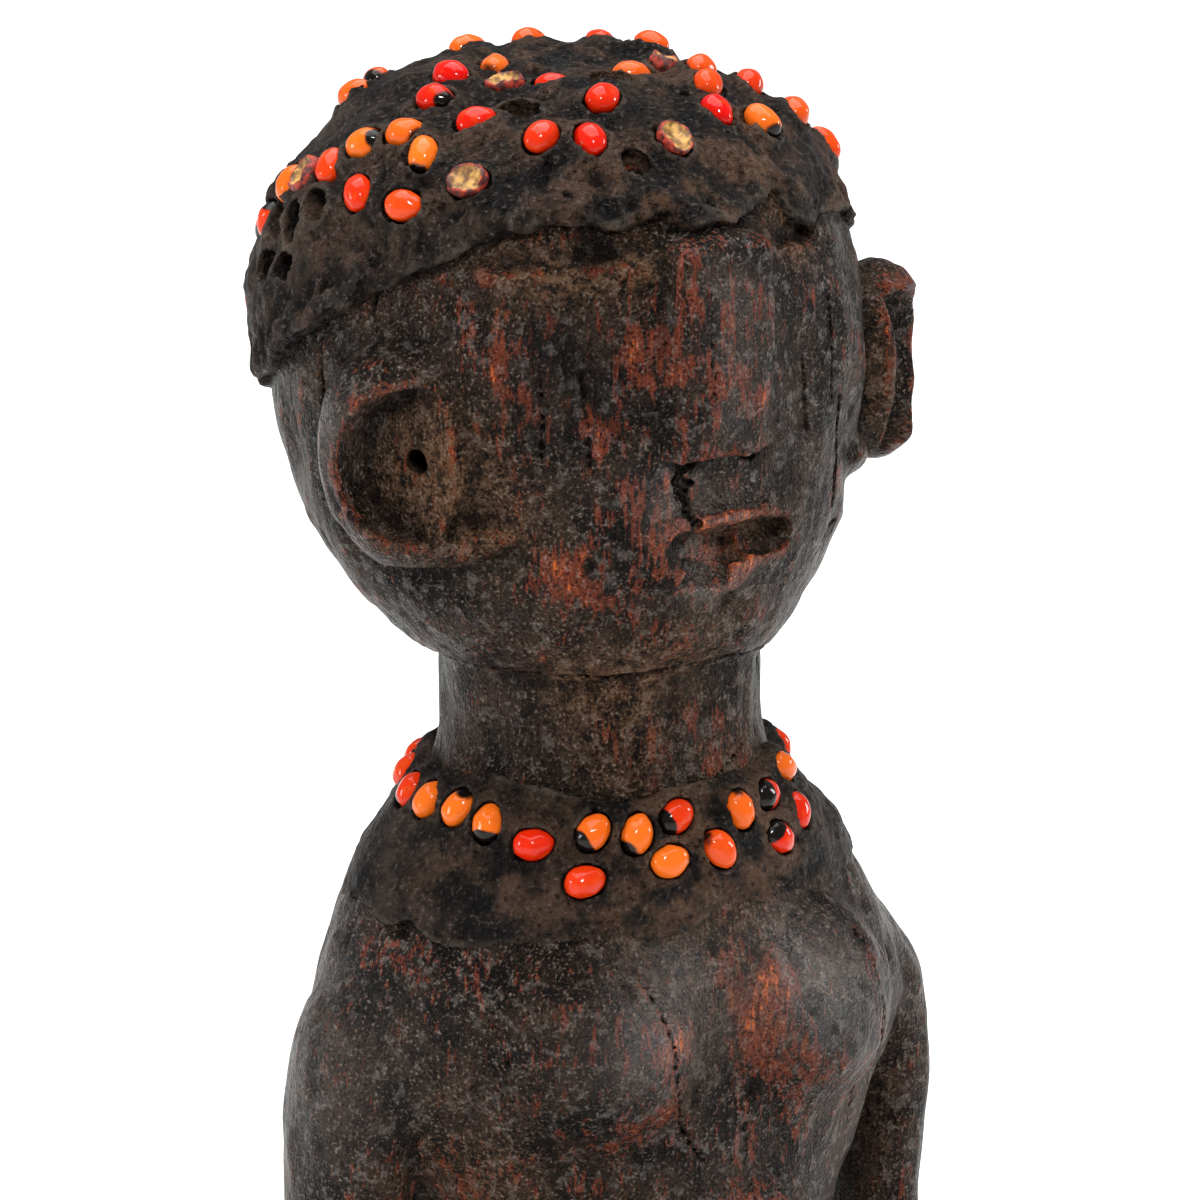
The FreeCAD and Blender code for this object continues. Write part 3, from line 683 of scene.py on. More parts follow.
def seed_piece(name, places, coat, settings, looks=None):
    """Seeds on the given middles and long directions, as one mesh."""
    cloud = bpy.data.meshes.new(name)
    # Each seed is pressed a little into its bed.
    cloud.from_pydata([Vector((centre - 0.5 * outward(centre, name)) * MM) for centre, _ in places], [], [])
    turns = []
    for centre, along in places:
        turns.extend(Matrix(seed_axes(outward(centre, name), along).T).to_quaternion())
    cloud.attributes.new("turn", "QUATERNION", "POINT").data.foreach_set("value", turns)
    piece = bpy.data.objects.new(name, cloud)
    bpy.context.scene.collection.objects.link(piece)
    nodes = piece.modifiers.new("seeds", "NODES")
    nodes.node_group = bpy.data.node_groups.get("seeds_on_places") or seeds_tree()
    set_inputs(nodes, {"Length": settings.length, "Width": settings.width, "Thickness": settings.thickness,
                       "Unevenness": settings.unevenness, "Coat": coat})
    baked(piece)
    points = points_of(piece) / MM
    middles = np.array([centre for centre, _ in places], np.float32)
    owner = np.argmin(((points[:, None] - middles[None]) ** 2).sum(2), axis=1) if len(places) > 1 else 0
    rng = np.random.default_rng(len(places))
    tones, eyes, sizes = [], [], []
    for centre, along in places:
        if looks is None:
            tone, angle, size = rng.uniform(0, 1), rng.choice([None, 0, 90, 180, -90]), rng.uniform(0.25, 0.5)
        else:
            tone, angle, size = looks
        if angle is None:
            direction = -outward(centre, name)
        else:
            wanted = tangent(centre, name, angle)
            direction = along * np.sign(along @ wanted) * 0.8 + wanted * 0.4
        tones.append(tone)
        eyes.append(direction / np.linalg.norm(direction))
        sizes.append(size)
    local = points - middles[owner]
    local /= np.linalg.norm(local, axis=1)[:, None]
    facing = np.einsum("ij,ij->i", local, np.broadcast_to(np.array(eyes, np.float32)[owner], local.shape))
    mark(piece, "tone", np.broadcast_to(np.array(tones, np.float32)[owner], len(points)))
    # The eye's edge lies where this passes the material's threshold of 0.64.
    size = np.broadcast_to(np.array(sizes, np.float32)[owner], len(points))
    mark(piece, "eye", facing * 0.5 + size * 0.6 - 0.04)
    return piece


def finish_piece(piece, slot, *nodes):
    """Hangs a finished piece under the root body and hides its CAD nodes."""
    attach(piece, "root")
    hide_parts(*nodes)


def coated(piece, coat):
    piece.data.materials.clear()
    piece.data.materials.append(coat)
    piece.data.polygons.foreach_set("use_smooth", [True] * len(piece.data.polygons))
    return piece


# ---------------------------------------------------------------- wood

def head_field():
    """The wood's head, neck and the tops of its shoulders, carved."""
    field = Field((WOOD_LOW[0] - 3, WOOD_LOW[1] - 3, COLLAR_LOW[2] - 6),
                  (WOOD_HIGH[0] + 7, WOOD_HIGH[1] + 3, WOOD_HIGH[2] + 3), 0.45)
    field.fill("wood_figure")
    field.blur(1.1)
    return field


HEAD_RADII = (49.0, 48.5, 68.0)  # the bare head near the ears

# Bearing of each ear's root from the face, how far its rim stands off the head, and its level.
EARS = {1: (70, 14.2, 289.0), -1: (-64, 9.5, 285.5)}


def carve_ear(field, side, bearing, height, level):
    """A thick curl of wood that stands off the head at the back and opens towards the face."""
    turn = math.radians(bearing)
    out = np.array([math.sin(turn), -math.cos(turn), 0.0])
    back = side * np.array([math.cos(turn), math.sin(turn), 0.0])
    up = np.array([0.0, 0.0, 1.0])
    root = np.array([HEAD_RADII[0] * out[0], HEAD_MIDDLE[1] + HEAD_RADII[1] * out[1], level])
    axes = np.array([out, back, up]).T

    # The rough blank of the ear is cut away down to the round of the head.
    slices = field.window(root - back * 4, 30)
    x, y, z = field.axes(slices)
    share = [x / HEAD_RADII[0], (y - HEAD_MIDDLE[1]) / HEAD_RADII[1], (z - HEAD_MIDDLE[2]) / HEAD_RADII[2]]
    bare = (np.sqrt(sum(u ** 2 for u in share)) - 1) * HEAD_RADII[0]
    middle = root - back * 4
    reach = np.sqrt((x - middle[0]) ** 2 + (y - middle[1]) ** 2 + (z - middle[2]) ** 2)
    keep = np.clip((reach - 20) / 6, 0, 1)
    field.values[slices] = keep * field.values[slices] + (1 - keep) * np.clip(bare, -field.BAND, field.BAND)

    field.ball(root + out * (height - 10.0) + back * 1.0, (10.0, 13.0, 17.5), blend=3.0, turn=axes)
    # The lower arm of the curl runs on towards the jaw.
    for along, drop, radius in ((2, -13.5, 4.6), (-4, -14.3, 4.0), (-10, -13.6, 3.2), (-15, -12.0, 2.4)):
        angle = turn + side * math.radians(along / 0.85)
        way = np.array([math.sin(angle), -math.cos(angle), 0.0])
        spot = np.array([HEAD_RADII[0] * way[0], HEAD_MIDDLE[1] + HEAD_RADII[1] * way[1], level + drop])
        height_share = (spot[2] - HEAD_MIDDLE[2]) / HEAD_RADII[2]
        spot[:2] -= way[:2] * (1 - math.sqrt(max(0.0, 1 - height_share ** 2))) * HEAD_RADII[0]
        field.ball(spot, (radius, 4.4, radius * 0.8), blend=3.0, turn=axes)
    floor = 0.4 if side < 0 else 3.0

    def concha(x, y, z):
        """A steep-walled oval hollow that is open outwards and towards the face."""
        gap = [x - root[0], y - root[1], z - root[2]]
        rise = out[0] * gap[0] + out[1] * gap[1]
        along = back[0] * gap[0] + back[1] * gap[1]
        oval = np.sqrt(((along + 5.5) / 12.0) ** 2 + (gap[2] / 13.4) ** 2) - 1
        return np.maximum(oval * 12.0 + 0.10 * (height - rise), floor + 0.012 * along ** 2 - rise)
    field.merge(root + out * 6 - back * 5.5, 24.0, concha, 1.0, True)
    hole = field.out_from(root - back * (2.8 if side < 0 else 3.0) - out * 14, out)
    field.rod(hole + out * 2 - back, hole - out * 10, 2.1, blend=0.5, hollow=True)


def carve_face(field):
    y = AXIS_Y
    # The nose is a broad low band with a flat underside, set off by a ledge and not by its sides.
    field.block((-0.3, y - 33.2, 301.5), (8.8, 5.6, 19.0), 2.2, blend=4.0)
    field.block((0.5, y - 41.2, 281.3), (15.0, 4.6, 4.6), 0.3, blend=0.3, hollow=True)
    # The chin is cut back towards the neck.
    field.ball((0, y - 41, 243.5), (30, 13.5, 7.5), blend=5.0, hollow=True)
    # Eyes are shallow recesses under the edge of the cap, the left one oblong.
    field.ball((-18.6, y - 30.6, 319.4), (6.0, 3.6, 3.0), blend=1.2, hollow=True,
               turn=Matrix.Rotation(math.radians(-25), 3, "Z"))
    field.block((19.0, y - 30.0, 319.2), (6.0, 3.2, 2.6), 0.8, blend=0.8, hollow=True,
                turn=Matrix.Rotation(math.radians(27), 3, "Z"))
    for side in (-1, 1):
        # The cheek is dished a little beside the nose.
        field.ball((side * 21, y - 42, 303), (10, 9.5, 16), blend=7.0, hollow=True)
    # Over the right eye's outer half the brow stands out as a ledge.
    field.rod((-34, y - 19.6, 315.4), (-13, y - 32.4, 316.0), 1.2, blend=2.2)
    field.rod((-33, y - 22.0, 318.6), (-23, y - 29.0, 319.2), 1.3, blend=2.0, hollow=True)
    # The mouth is a slanting slot, taller at the right corner; its floor is coloured brown, partly its own dust
    # and partly painted light where it lies in shade.
    slant = (Matrix.Rotation(math.radians(9), 3, "Z") @ Matrix.Rotation(math.radians(4), 3, "Y")
             @ Matrix.Rotation(math.radians(-24), 3, "X"))
    field.block((3.4, y - 38.2, 272.4), (11.4, 4.4, 2.2), 1.6, blend=0.2, hollow=True, turn=slant)
    field.block((-2.0, y - 38.2, 271.6), (7.0, 4.4, 2.8), 1.4, blend=0.2, hollow=True, turn=slant)
    # A chip is missing below the lip.
    field.block((-3.0, y - 37.7, 267.4), (3.8, 2.6, 2.2), 0.2, blend=0.2, hollow=True,
                turn=Matrix.Rotation(math.radians(-34), 3, "X") @ Matrix.Rotation(math.radians(14), 3, "Y"))
    for side, ear in EARS.items():
        carve_ear(field, side, *ear)
    for x, z in ((-6.6, 285.2), (4.8, 285.4)):
        field.ball((x, y - 36.6, z), (1.7, 1.8, 1.2), blend=0.3, hollow=True)


def crack_head(field):
    def face(*stops):
        return [field.front(x, z) for x, z in stops]

    def flank(*stops):
        return [field.side(bearing, z, HEAD_MIDDLE[1]) for bearing, z in stops]

    field.crack(face((-8.2, 285.4), (-7.6, 281.0), (-5.6, 275.5), (-5.2, 273.5)), 1.2, 3.2, 1, 0.1)
    # Upright cuts mark the cheeks, and the outer one on the doll's left runs long.
    scars = ((-28.5, 301, 285, 0.5), (-22.3, 300.5, 285.5, 0.6),
             (18.4, 302, 285.5, 0.5), (25.0, 307, 290, 0.5),
             (27.6, 290, 271, 0.9))
    for number, (x, high, low, width) in enumerate(scars):
        line = face((x, high), (x + 0.3, (low + high) / 2), (x + 0.1, low))
        field.crack(line, width, 0.9, 10 + number, 0.06)
    field.crack(flank((-84, 303), (-84, 296), (-83, 288), (-85, 280)), 0.8, 2.0, 3, 0.12)
    field.crack(flank((-70, 314), (-71, 309), (-69, 303)), 0.6, 1.0, 4, 0.1)
    field.crack(flank((30, 262), (36, 266), (42, 268)), 0.6, 1.0, 5, 0.1)
    field.crack(face((-4.8, 313), (-5.2, 306), (-4.6, 299), (-5.0, 296)), 0.45, 0.6, 8, 0.06)
    for number, bearing in enumerate((-150, 128, 172, 205)):
        line = flank((bearing, 285), (bearing + 2, 272), (bearing + 1, 260))
        field.crack(line, 0.6, 1.6, 20 + number, 0.12)
    # The head meets the neck in a shallow cut.
    ring = [field.side(bearing, 247.5 + 1.2 * math.cos(math.radians(bearing)))
            for bearing in range(-120, 121, 4)]
    field.crack(ring, 0.9, 0.5, 6, 0.12)
    scratch = [field.side(b, z) for b, z in ((-28, 222), (0, 225.5), (20, 230), (32, 233))]
    field.crack(scratch, 0.5, 0.5, 7, 0.1)


def weather(field, seed):
    """Slow and quick unevenness of a hand-cut face, with dents where fibres have torn out."""
    field.values += 0.30 * field.noise((9, 9, 14), seed)
    field.values += 0.15 * field.noise((3.2, 3.2, 5.5), seed + 1)
    fibre = field.noise((1.1, 1.1, 6.0), seed + 3)
    torn = field.noise((1.5, 1.5, 3.2), seed + 2)
    field.values += 0.06 * torn + 0.07 * fibre + 0.38 * np.clip(torn - 1.6, 0, 1.5)


def wood_marks(piece, field, head):
    """Where the wood is worn, dusty or polished, and where shade is painted darker into hollows."""
    points = points_of(piece) / MM
    edge = sharpness(piece, field, 1.5)
    if head:
        worn = blobs(points, (
            (-11.5, -35, 305, 4.5, 1.5), (-14, -35, 299, 4.5, 0.9), (-1.7, -38, 300, 3.2, 1.7),
            (5.0, -37, 308, 4, 1.4), (4.8, -38, 295, 4, 1.3), (-19.5, -33, 291.5, 4, 1.6),
            (-24, -30, 268, 5, 0.8), (-19, -31, 263, 5, 0.7), (-14, -35, 277, 6, 0.9), (-2, -37, 290, 10, 0.5),
            (-10, -33, 312, 8, 0.5), (-32, -26, 300, 9, 0.5), (-34, -22, 312, 8, 0.6), (-36, -22, 290, 8, 0.5),
            # The two spots at the mouth lighten its shaded floor: partly rubbed wood, partly painted light.
            (4, -34.5, 271.5, 6, 1.3), (-2, -35, 271, 5, 1.0),
            (-6, -27, 236, 7, 0.5), (8, -26, 232, 7, 0.6), (2, -27, 239, 4, 0.9), (-30, -30, 272, 10, 0.4),
            (-8, -35, 262, 10, 0.6), (30, -26, 276, 4, 0.8), (0, -38, 312, 6, 0.5),
        ))
        clay = blobs(points, (
            # The spots at the mouth colour its shaded floor brown-orange: partly dust, partly painted light.
            (-42, -16, 286, 10, 1.0), (44, -10, 288, 10, 1.0), (2, -34, 271.5, 5, 0.6), (8, -34, 272, 5, 0.6),
            (19, -29, 319, 6, 1.2), (-30, -25, 316, 6, 0.9), (-22, -29, 316, 5, 0.9), (-14, -32, 317, 5, 0.9),
            (-36, -24, 276, 9, 0.7), (-6, -26, 248, 9, 0.8), (-18, -22, 247, 8, 0.8), (-10, -26, 230, 9, 0.5),
            (12, -24, 229, 9, 0.6), (0, -30, 254, 10, 0.4),
        ))
        polish = blobs(points, (
            (-1.5, -38, 303, 4, 0.9), (-1.5, -38, 311, 4, 0.7), (0, -38, 294, 4, 0.5),
            (-2.8, -36, 266.0, 3.6, 2.0),
            (-10, -35, 279, 5, 0.8), (0, -36, 275, 6, 0.6), (-55, -6, 290, 8, 0.5),
        ))
        # Painted shade in the ear cups, the right eye hollow and the cheek beside the nose; the negative spot
        # keeps the mouth's floor free of it.
        hollow = blobs(points, (
            (-38, -13, 285.5, 3.4, 1.5), (38, -5, 289, 3.0, 1.3), (-18.8, -27.6, 319.6, 4.2, 1.1),
            (-22, -31, 298, 7, 0.5), (-26, -29, 306, 8, 0.6), (-30, -27, 292, 5, 0.4), (3, -34, 271, 8, -1.2),
        ))
    else:
        worn = blobs(points, (
            (6, -36, 198, 7, 1.1), (6, -38, 186, 7, 1.2), (8, -40, 174, 7, 1.3), (10, -42, 162, 8, 1.3),
            (0, -42, 158, 9, 0.6), (-26, -30, 187, 6, 1.2), (-17, -34, 189, 6, 1.2), (-12, -36, 188, 5, 1.1),
            (-16, -34, 176, 6, 1.2), (-24, -28, 170, 7, 1.0), (4, -38, 191, 5, 1.0), (-32, -18, 200, 7, 1.0),
            (-42, -8, 200, 7, 0.9), (-34, -14, 166, 8, 0.9), (-44, -10, 160, 9, 0.7), (22, -34, 180, 8, 0.7),
            (26, -30, 168, 8, 0.6), (0, -42, 140, 12, 0.8), (-48, -10, 120, 10, 0.6), (48, -10, 120, 10, 0.6),
            (22, -14, 60, 9, 0.7), (-22, -14, 60, 9, 0.7), (22, -30, 8, 12, 0.7), (-22, -30, 8, 12, 0.7),
            (0, 36, 104, 20, 0.6), (0, 30, 180, 24, 0.4),
        ))
        clay = blobs(points, (
            (0, -30, 206, 22, 0.5), (34, -16, 165, 16, 0.5), (-34, -16, 165, 12, 0.5), (0, -20, 96, 22, 0.6),
            (22, 6, 20, 22, 0.6), (-22, 6, 20, 22, 0.6), (0, 0, 60, 20, 0.5), (0, 34, 90, 14, 0.6),
        ))
        polish = blobs(points, (
            (-8, -37, 194, 10, 1.4), (14, -38, 197, 9, 1.4), (19, -38, 190, 8, 0.5), (-19, -38, 190, 8, 0.5),
            (0, -40, 148, 14, 0.3), (50, 0, 190, 14, 0.4), (-52, 0, 185, 16, 0.4),
        ))
        # Painted shade under and beside the breasts.
        hollow = blobs(points, ((-26, -32, 178, 9, 0.3), (20, -38, 184, 8, 0.3), (-14, -38, 198, 7, 0.3)))
    worn = 0.85 * worn + np.clip(edge * 1.5, -0.6, 0.8)
    # Creases and hollows found from the surface's shape get painted shade as well.
    hollow = hollow + np.clip(-edge * 1.9 - 0.04, 0, 0.8)
    mark(piece, "worn", worn)
    mark(piece, "clay", np.clip(clay, 0, 1))
    mark(piece, "polish", np.clip(polish, 0, 1.3))
    mark(piece, "hollow", np.clip(hollow, 0, 1))


def body_field():
    field = Field((WOOD_LOW[0] - 3, WOOD_LOW[1] - 3, -3),
                  (WOOD_HIGH[0] + 3, WOOD_HIGH[1] + 3, SEAM[1] + 3), 0.5)
    field.fill("wood_figure")
    field.blur(1.6)
    return field


def carve_body(field):
    y = AXIS_Y
    for side in (-1, 1):
        # Breasts are low mounds, cut under more sharply than above.
        field.ball((side * 18, y - 24, 187), (17, 16.5, 19), blend=5.0)
        field.ball((side * 17, y - 45, 166), (17, 8, 8), blend=6.0, hollow=True)
        # Fingers are four cuts in the mitten of the hand.
        for finger in range(3):
            field.rod((side * 56, y - 15 + finger * 4.0, 94), (side * 53, y - 15.5 + finger * 3.4, 80), 0.7,
                      blend=0.6, hollow=True)
        # Toes are cuts in the front of the foot.
        for toe in range(4):
            x = side * 22 + (toe - 1.5) * 5.6
            field.rod((x, y - 42, 3), (x * 0.98, y - 31, 12), 0.8, blend=0.8, hollow=True)
        # The knee stands out a little over the shin.
        field.ball((side * 22, y - 19, 56), (9, 6, 9), blend=5.0)
    field.ball((0, y - 41.5, 139), (5.0, 3.4, 5.0), blend=2.0)
    field.ball((0, y + 38, 98), (2.2, 12, 18), blend=5.0, hollow=True)


def crack_body(field):
    def chest(*stops):
        return [field.front(x, z) for x, z in stops]

    line = chest((-16, 202), (-14, 196), (-12, 188), (-11, 180), (-8, 172), (-4, 165))
    field.crack(line, 0.6, 1.6, 31, 0.2)
    field.crack(chest((28, 200), (30, 190), (30, 178), (29, 166)), 0.6, 1.4, 32, 0.2)
    field.crack(chest((-37, 197), (-36.5, 186), (-35, 174), (-32, 160)), 0.5, 0.5, 33, 0.08)
    field.crack(chest((4, 170), (5, 160), (3, 150)), 0.5, 1.2, 34)
    for number, bearing in enumerate((150, 186, 214)):
        line = [field.side(bearing + 2 * n, z) for n, z in enumerate((196, 180, 162, 140))]
        field.crack(line, 0.6, 1.5, 40 + number)


def cut_level(field, level, above):
    """Cuts a body off flat, keeping what is above or below a level."""
    z = field.axes()[2]
    field.values = np.maximum(field.values, (level - z) if above else (z - level))


def make_wood_head(settings):
    field = head_field()
    bare = field.values.copy()
    carve_face(field)
    weather(field, 5)
    crack_head(field)
    STORE["head"] = (field, bare)
    whole = field.values.copy()
    cut_level(field, SEAM[0], above=True)
    piece = thinned(field.mesh("wood_head"), 190000)
    field.values = whole
    chiselled(piece, 8.0, 0.22, 3)
    wood_marks(piece, field, head=True)
    return piece


def make_wood_body(settings):
    field = body_field()
    carve_body(field)
    weather(field, 15)
    crack_body(field)
    cut_level(field, SEAM[1], above=False)
    z = field.axes()[2]
    field.values = np.maximum(field.values, -z)  # the soles stand flat on the ground
    piece = thinned(field.mesh("wood_body"), 190000)
    wood_marks(piece, field, head=False)
    points = points_of(piece)
    # The trunk sways a little to the doll's left between the hips and the shoulders.
    sway = np.interp(points[:, 2] / MM, (60, 130, 180, 206), (0, 1, 1, 0)).astype(np.float32)
    points[:, 0] += sway * (2.8 * MM + 0.022 * points[:, 0])
    piece.data.vertices.foreach_set("co", points.ravel())
    piece.data.update()
    return piece


# ---------------------------------------------------------------- resin

STORE = {}
RIM_RISE, RIM_TILT = 7.0, 27.0  # the rim's plane over the head's middle, and its fall to the nape

# Bearing from the face, and how far the ragged rim lies above its plane there, in millimetres.
RIM_LINE = ((-180, -1.0), (-150, 1.5), (-125, -2.0), (-102, -3.0),
            (-87, -0.9), (-75, -0.4), (-63, 0.2), (-48, 2.0),
            (-32, 2.4), (-21, 0.2), (-10, -1.0), (-4, -3.6), (3, -3.2), (12, -0.6), (17, 0.9), (21.5, 2.4),
            (24, -2.2), (31, -3.2), (43, -0.5), (60, 1.0), (90, -1.5), (120, 1.8), (150, -1.2), (180, -1.0))


def resin_marks(piece, field, front):
    """Where the resin is dusty, and how far each point stands out; the material paints shade near black where
    it is sunk.
    """
    points = points_of(piece) / MM
    mark(piece, "dust", np.clip(blobs(points, front), 0, 1))
    edge = sharpness(piece, field, 1.3)
    mark(piece, "edge", np.clip((edge - np.median(edge)) * 1.6, -1, 1))


def all_lumps(prefix):
    return [lump for name in sorted(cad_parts) if name.startswith(prefix) for lump in lumps(name)]


def seat_seeds(field, prefix, settings):
    """Raises a lip of resin round every seed and sinks its seat."""
    half = half_sizes(settings)
    found = all_lumps(prefix)
    for hollow in (False, True):
        for centre, along in found:
            out = outward(centre, prefix)
            turn = seed_axes(out, along).T
            if hollow:
                field.ball(centre - out * 0.2, half * 1.10, blend=0.3, hollow=True, turn=turn)
            else:
                field.ball(centre - out * 2.2, half + (1.6, 1.6, 0.9), blend=2.0, turn=turn)


def empty_seats(field, places, settings):
    half = half_sizes(settings)
    rng = np.random.default_rng(9)
    for bearing, lift in places:
        b, e = math.radians(bearing), math.radians(lift)
        ray = np.array((math.sin(b) * math.cos(e), -math.cos(b) * math.cos(e), math.sin(e)))
        centre = field.out_from(HEAD_MIDDLE, ray) - ray * 0.3
        along = tangent(centre, "cap", rng.uniform(0, 180))
        across = np.cross(ray, along)
        turn = np.array([along, across / np.linalg.norm(across), ray]).T
        field.ball(centre - ray * 2.0, half + (1.4, 1.4, 0.8), blend=1.8, turn=turn)
        field.ball(centre - ray * 0.3, half * rng.uniform(0.95, 1.12), blend=0.3, hollow=True, turn=turn)


def make_cap(settings, seeds):
    wood, bare = STORE["head"]
    field = wood.blank()
    x, y, z = field.axes()
    thickness = settings.thickness / MM
    lumpy = thickness - 0.5 + 0.45 * field.noise((7, 7, 7), 21) + 0.38 * field.noise((3.0, 3.0, 3.0), 22)
    lumpy = np.clip(lumpy, 0.8, 4.4)
    tilt = math.radians(RIM_TILT)
    middle = HEAD_MIDDLE
    rim = (z - middle[2] - RIM_RISE) * math.cos(tilt) + (y - middle[1]) * math.sin(tilt)
    bearing = np.degrees(np.arctan2(x, -(y - middle[1])))
    rim = rim - np.interp(bearing, *zip(*RIM_LINE)).astype(np.float32)
    rim = rim + 0.45 * field.noise((4, 4, 4), 23) + 0.2 * field.noise((1.5, 1.5, 1.5), 24)
    # The front band swells towards its edge, which stands off the wood.
    lumpy = lumpy - 1.0 * np.clip((bearing - 28) / 20, 0, 1) * np.clip((125 - bearing) / 20, 0, 1)
    swell = 1.6 * np.exp(-((rim - 3.0) / 3.0) ** 2) * np.clip(1.2 - np.abs(bearing + 30) / 70, 0, 1)
    ridges = 0.55 * np.abs(field.noise((1.8, 1.8, 9.0), 27)) * np.exp(-((rim - 4.0) / 5.0) ** 2)
    lumpy = np.clip(lumpy + swell - ridges, 0.8, 4.6)
    field.values = soft_min(-(bare - lumpy), rim * 0.85, 0.8) * -1
    del rim, lumpy
    seat_seeds(field, "cap", seeds)
    empty_seats(field, EMPTY_SEATS, seeds)
    field.values += 0.08 * field.noise((1.0, 1.0, 1.0), 25)
    torn = field.noise((1.7, 1.7, 1.7), 26)
    field.values += 0.45 * np.clip(torn - 1.3, 0, 1.5)
    field.values = np.maximum(field.values, -bare - 1.0)
    # The cap ends well above the chin, and nothing of it may be left lower down.
    lowest = 260
    field.values[:, :, :int((lowest / field.cell) - field.low[2])] = 3
    piece = thinned(field.mesh("resin_cap"), 195000)
    resin_marks(piece, field, ((-10, -36, 326, 18, 1.0), (14, -34, 328, 12, 0.8), (-30, -10, 338, 16, 0.5),
                               (20, -14, 340, 18, 0.6), (36, -20, 322, 12, 0.8), (-46, 8, 312, 20, 0.4),
                               (0, 40, 320, 30, 0.5), (0, 8, 345, 22, 0.5)))
    return piece


EMPTY_SEATS = (
    (-90, 30), (-96, 26), (-105, 25), (-104, 16), (-96, 18), (-14, 44), (-4, 71), (-47, 58),
)


def make_collar(settings, seeds):
    wood, bare = STORE["head"]
    field = wood.blank()
    x, y, z = field.axes()
    lumpy = np.clip(1.4 + 0.28 * field.noise((6, 6, 6), 31) + 0.16 * field.noise((2.4, 2.4, 2.4), 32), 0.5, 4)
    bearing = np.degrees(np.arctan2(x, -(y - AXIS_Y)))
    floor = COLLAR_LOW[2] + 1.2 + 0.9 * np.sin(np.radians(bearing * 3 + 40))
    floor = floor + 0.7 * np.sin(np.radians(bearing * 7))
    floor = floor + 0.5 * field.noise((3, 3, 3), 33)
    top = COLLAR_HIGH[2] - 1.4 + 0.8 * np.sin(np.radians(bearing * 4)) + 0.5 * field.noise((3, 3, 3), 34)
    # The skin thins out towards both edges.
    thin = np.clip((top - z) / 4.0, 0.15, 1.0) * np.clip((z - floor) / 9.0 + 0.30, 0.30, 1.0)
    field.values = np.maximum(bare - lumpy * thin, np.maximum(floor - z, z - top))
    seat_seeds(field, "collar", seeds)
    field.values += 0.06 * field.noise((1.0, 1.0, 1.0), 35)
    torn = field.noise((1.5, 1.5, 1.5), 36)
    field.values += 0.25 * np.clip(torn - 1.6, 0, 1.5)
    field.values = np.maximum(field.values, -bare - 1.0)
    # The collar ends below the chin, and nothing of it may be left higher up.
    highest = 240
    field.values[:, :, int((highest / field.cell) - field.low[2]):] = 3
    piece = thinned(field.mesh("resin_collar"), 120000)
    resin_marks(piece, field, ((-10, -30, 214, 14, 0.6), (14, -30, 214, 14, 0.7), (0, -28, 226, 20, 0.6),
                               (-30, -16, 212, 16, 0.5), (0, 24, 216, 30, 0.5)))
    return piece


# ---------------------------------------------------------------- settings

def millimetres(name, text, value):
    return bpy.props.FloatProperty(name=name, description=text, default=value * MM, unit="LENGTH", min=0.0)


def colour_of(name, text, hexcode):
    return bpy.props.StringProperty(name=name, description=text, default=hexcode)


class WoodSettings(bpy.types.PropertyGroup):
    """Colours of the wood."""
    black: colour_of("Smoked", "Colour of the smoked wood", "080605")
    brown: colour_of("Brown", "Colour where the smoke is thin", "2e231c")
    worn: colour_of("Worn", "Colour of rubbed wood", "5a2819")
    fresh: colour_of("Bare", "Colour of bare wood", "b85a28")
    clay: colour_of("Dust", "Colour of the dust in hollows", "543b27")


class ResinSettings(bpy.types.PropertyGroup):
    """Thickness and colours of the resin."""
    thickness: millimetres("Thickness", "Thickness of the cap over the wood", 3.4)
    dark: colour_of("Dark", "Colour of clean resin", "0d0b0a")
    light: colour_of("Light", "Colour of weathered resin", "26201d")
    dust: colour_of("Dust", "Colour of dust on the resin", "4a3527")


class SeedSettings(bpy.types.PropertyGroup):
    """Sizes and colours of the seeds."""
    length: millimetres("Length", "Length of a seed", 6.8)
    width: millimetres("Width", "Width of a seed", 5.4)
    thickness: millimetres("Thickness", "Thickness of a seed", 5.0)
    unevenness: millimetres("Unevenness", "Height of the dents in a seed", 0.16)
    red: colour_of("Red", "Colour of a fresh coat", "bc0a05")
    orange: colour_of("Orange", "Colour of a faded coat", "cf6016")
    kernel: colour_of("Kernel", "Colour inside a broken seed", "b58a42")


class StageSettings(bpy.types.PropertyGroup):
    """Floor, lights and camera."""
    paper: colour_of("Paper", "Colour of the background paper", "f4f4f2")
    distance: millimetres("Camera distance", "From the camera to the doll", 950)
    field: millimetres("Field", "Width that the camera sees at the doll", 198)
    azimuth: bpy.props.FloatProperty(
        name="Azimuth", description="Camera's bearing from the front, to the doll's right",
        default=math.radians(32), subtype="ANGLE")
    elevation: bpy.props.FloatProperty(
        name="Elevation", description="Camera's height above the horizon",
        default=math.radians(16), subtype="ANGLE")


# ---------------------------------------------------------------- operators

class DOLL_OT_wood_head(bpy.types.Operator):
    """Carves the head and neck"""
    bl_idname = "doll.wood_head"
    bl_label = "Wooden head"

    def execute(self, context):
        settings = context.scene.doll_wood
        piece = make_wood_head(settings)
        coated(piece, bpy.data.materials.get("smoked_hardwood") or smoked_hardwood(settings))
        finish_piece(piece, "wood", "wood_figure")
        return {"FINISHED"}


class DOLL_OT_wood_body(bpy.types.Operator):
    """Carves the trunk, arms and legs"""
    bl_idname = "doll.wood_body"
    bl_label = "Wooden body"

    def execute(self, context):
        settings = context.scene.doll_wood
        piece = make_wood_body(settings)
        coated(piece, bpy.data.materials.get("smoked_hardwood") or smoked_hardwood(settings))
        finish_piece(piece, "wood", "wood_figure")
        return {"FINISHED"}


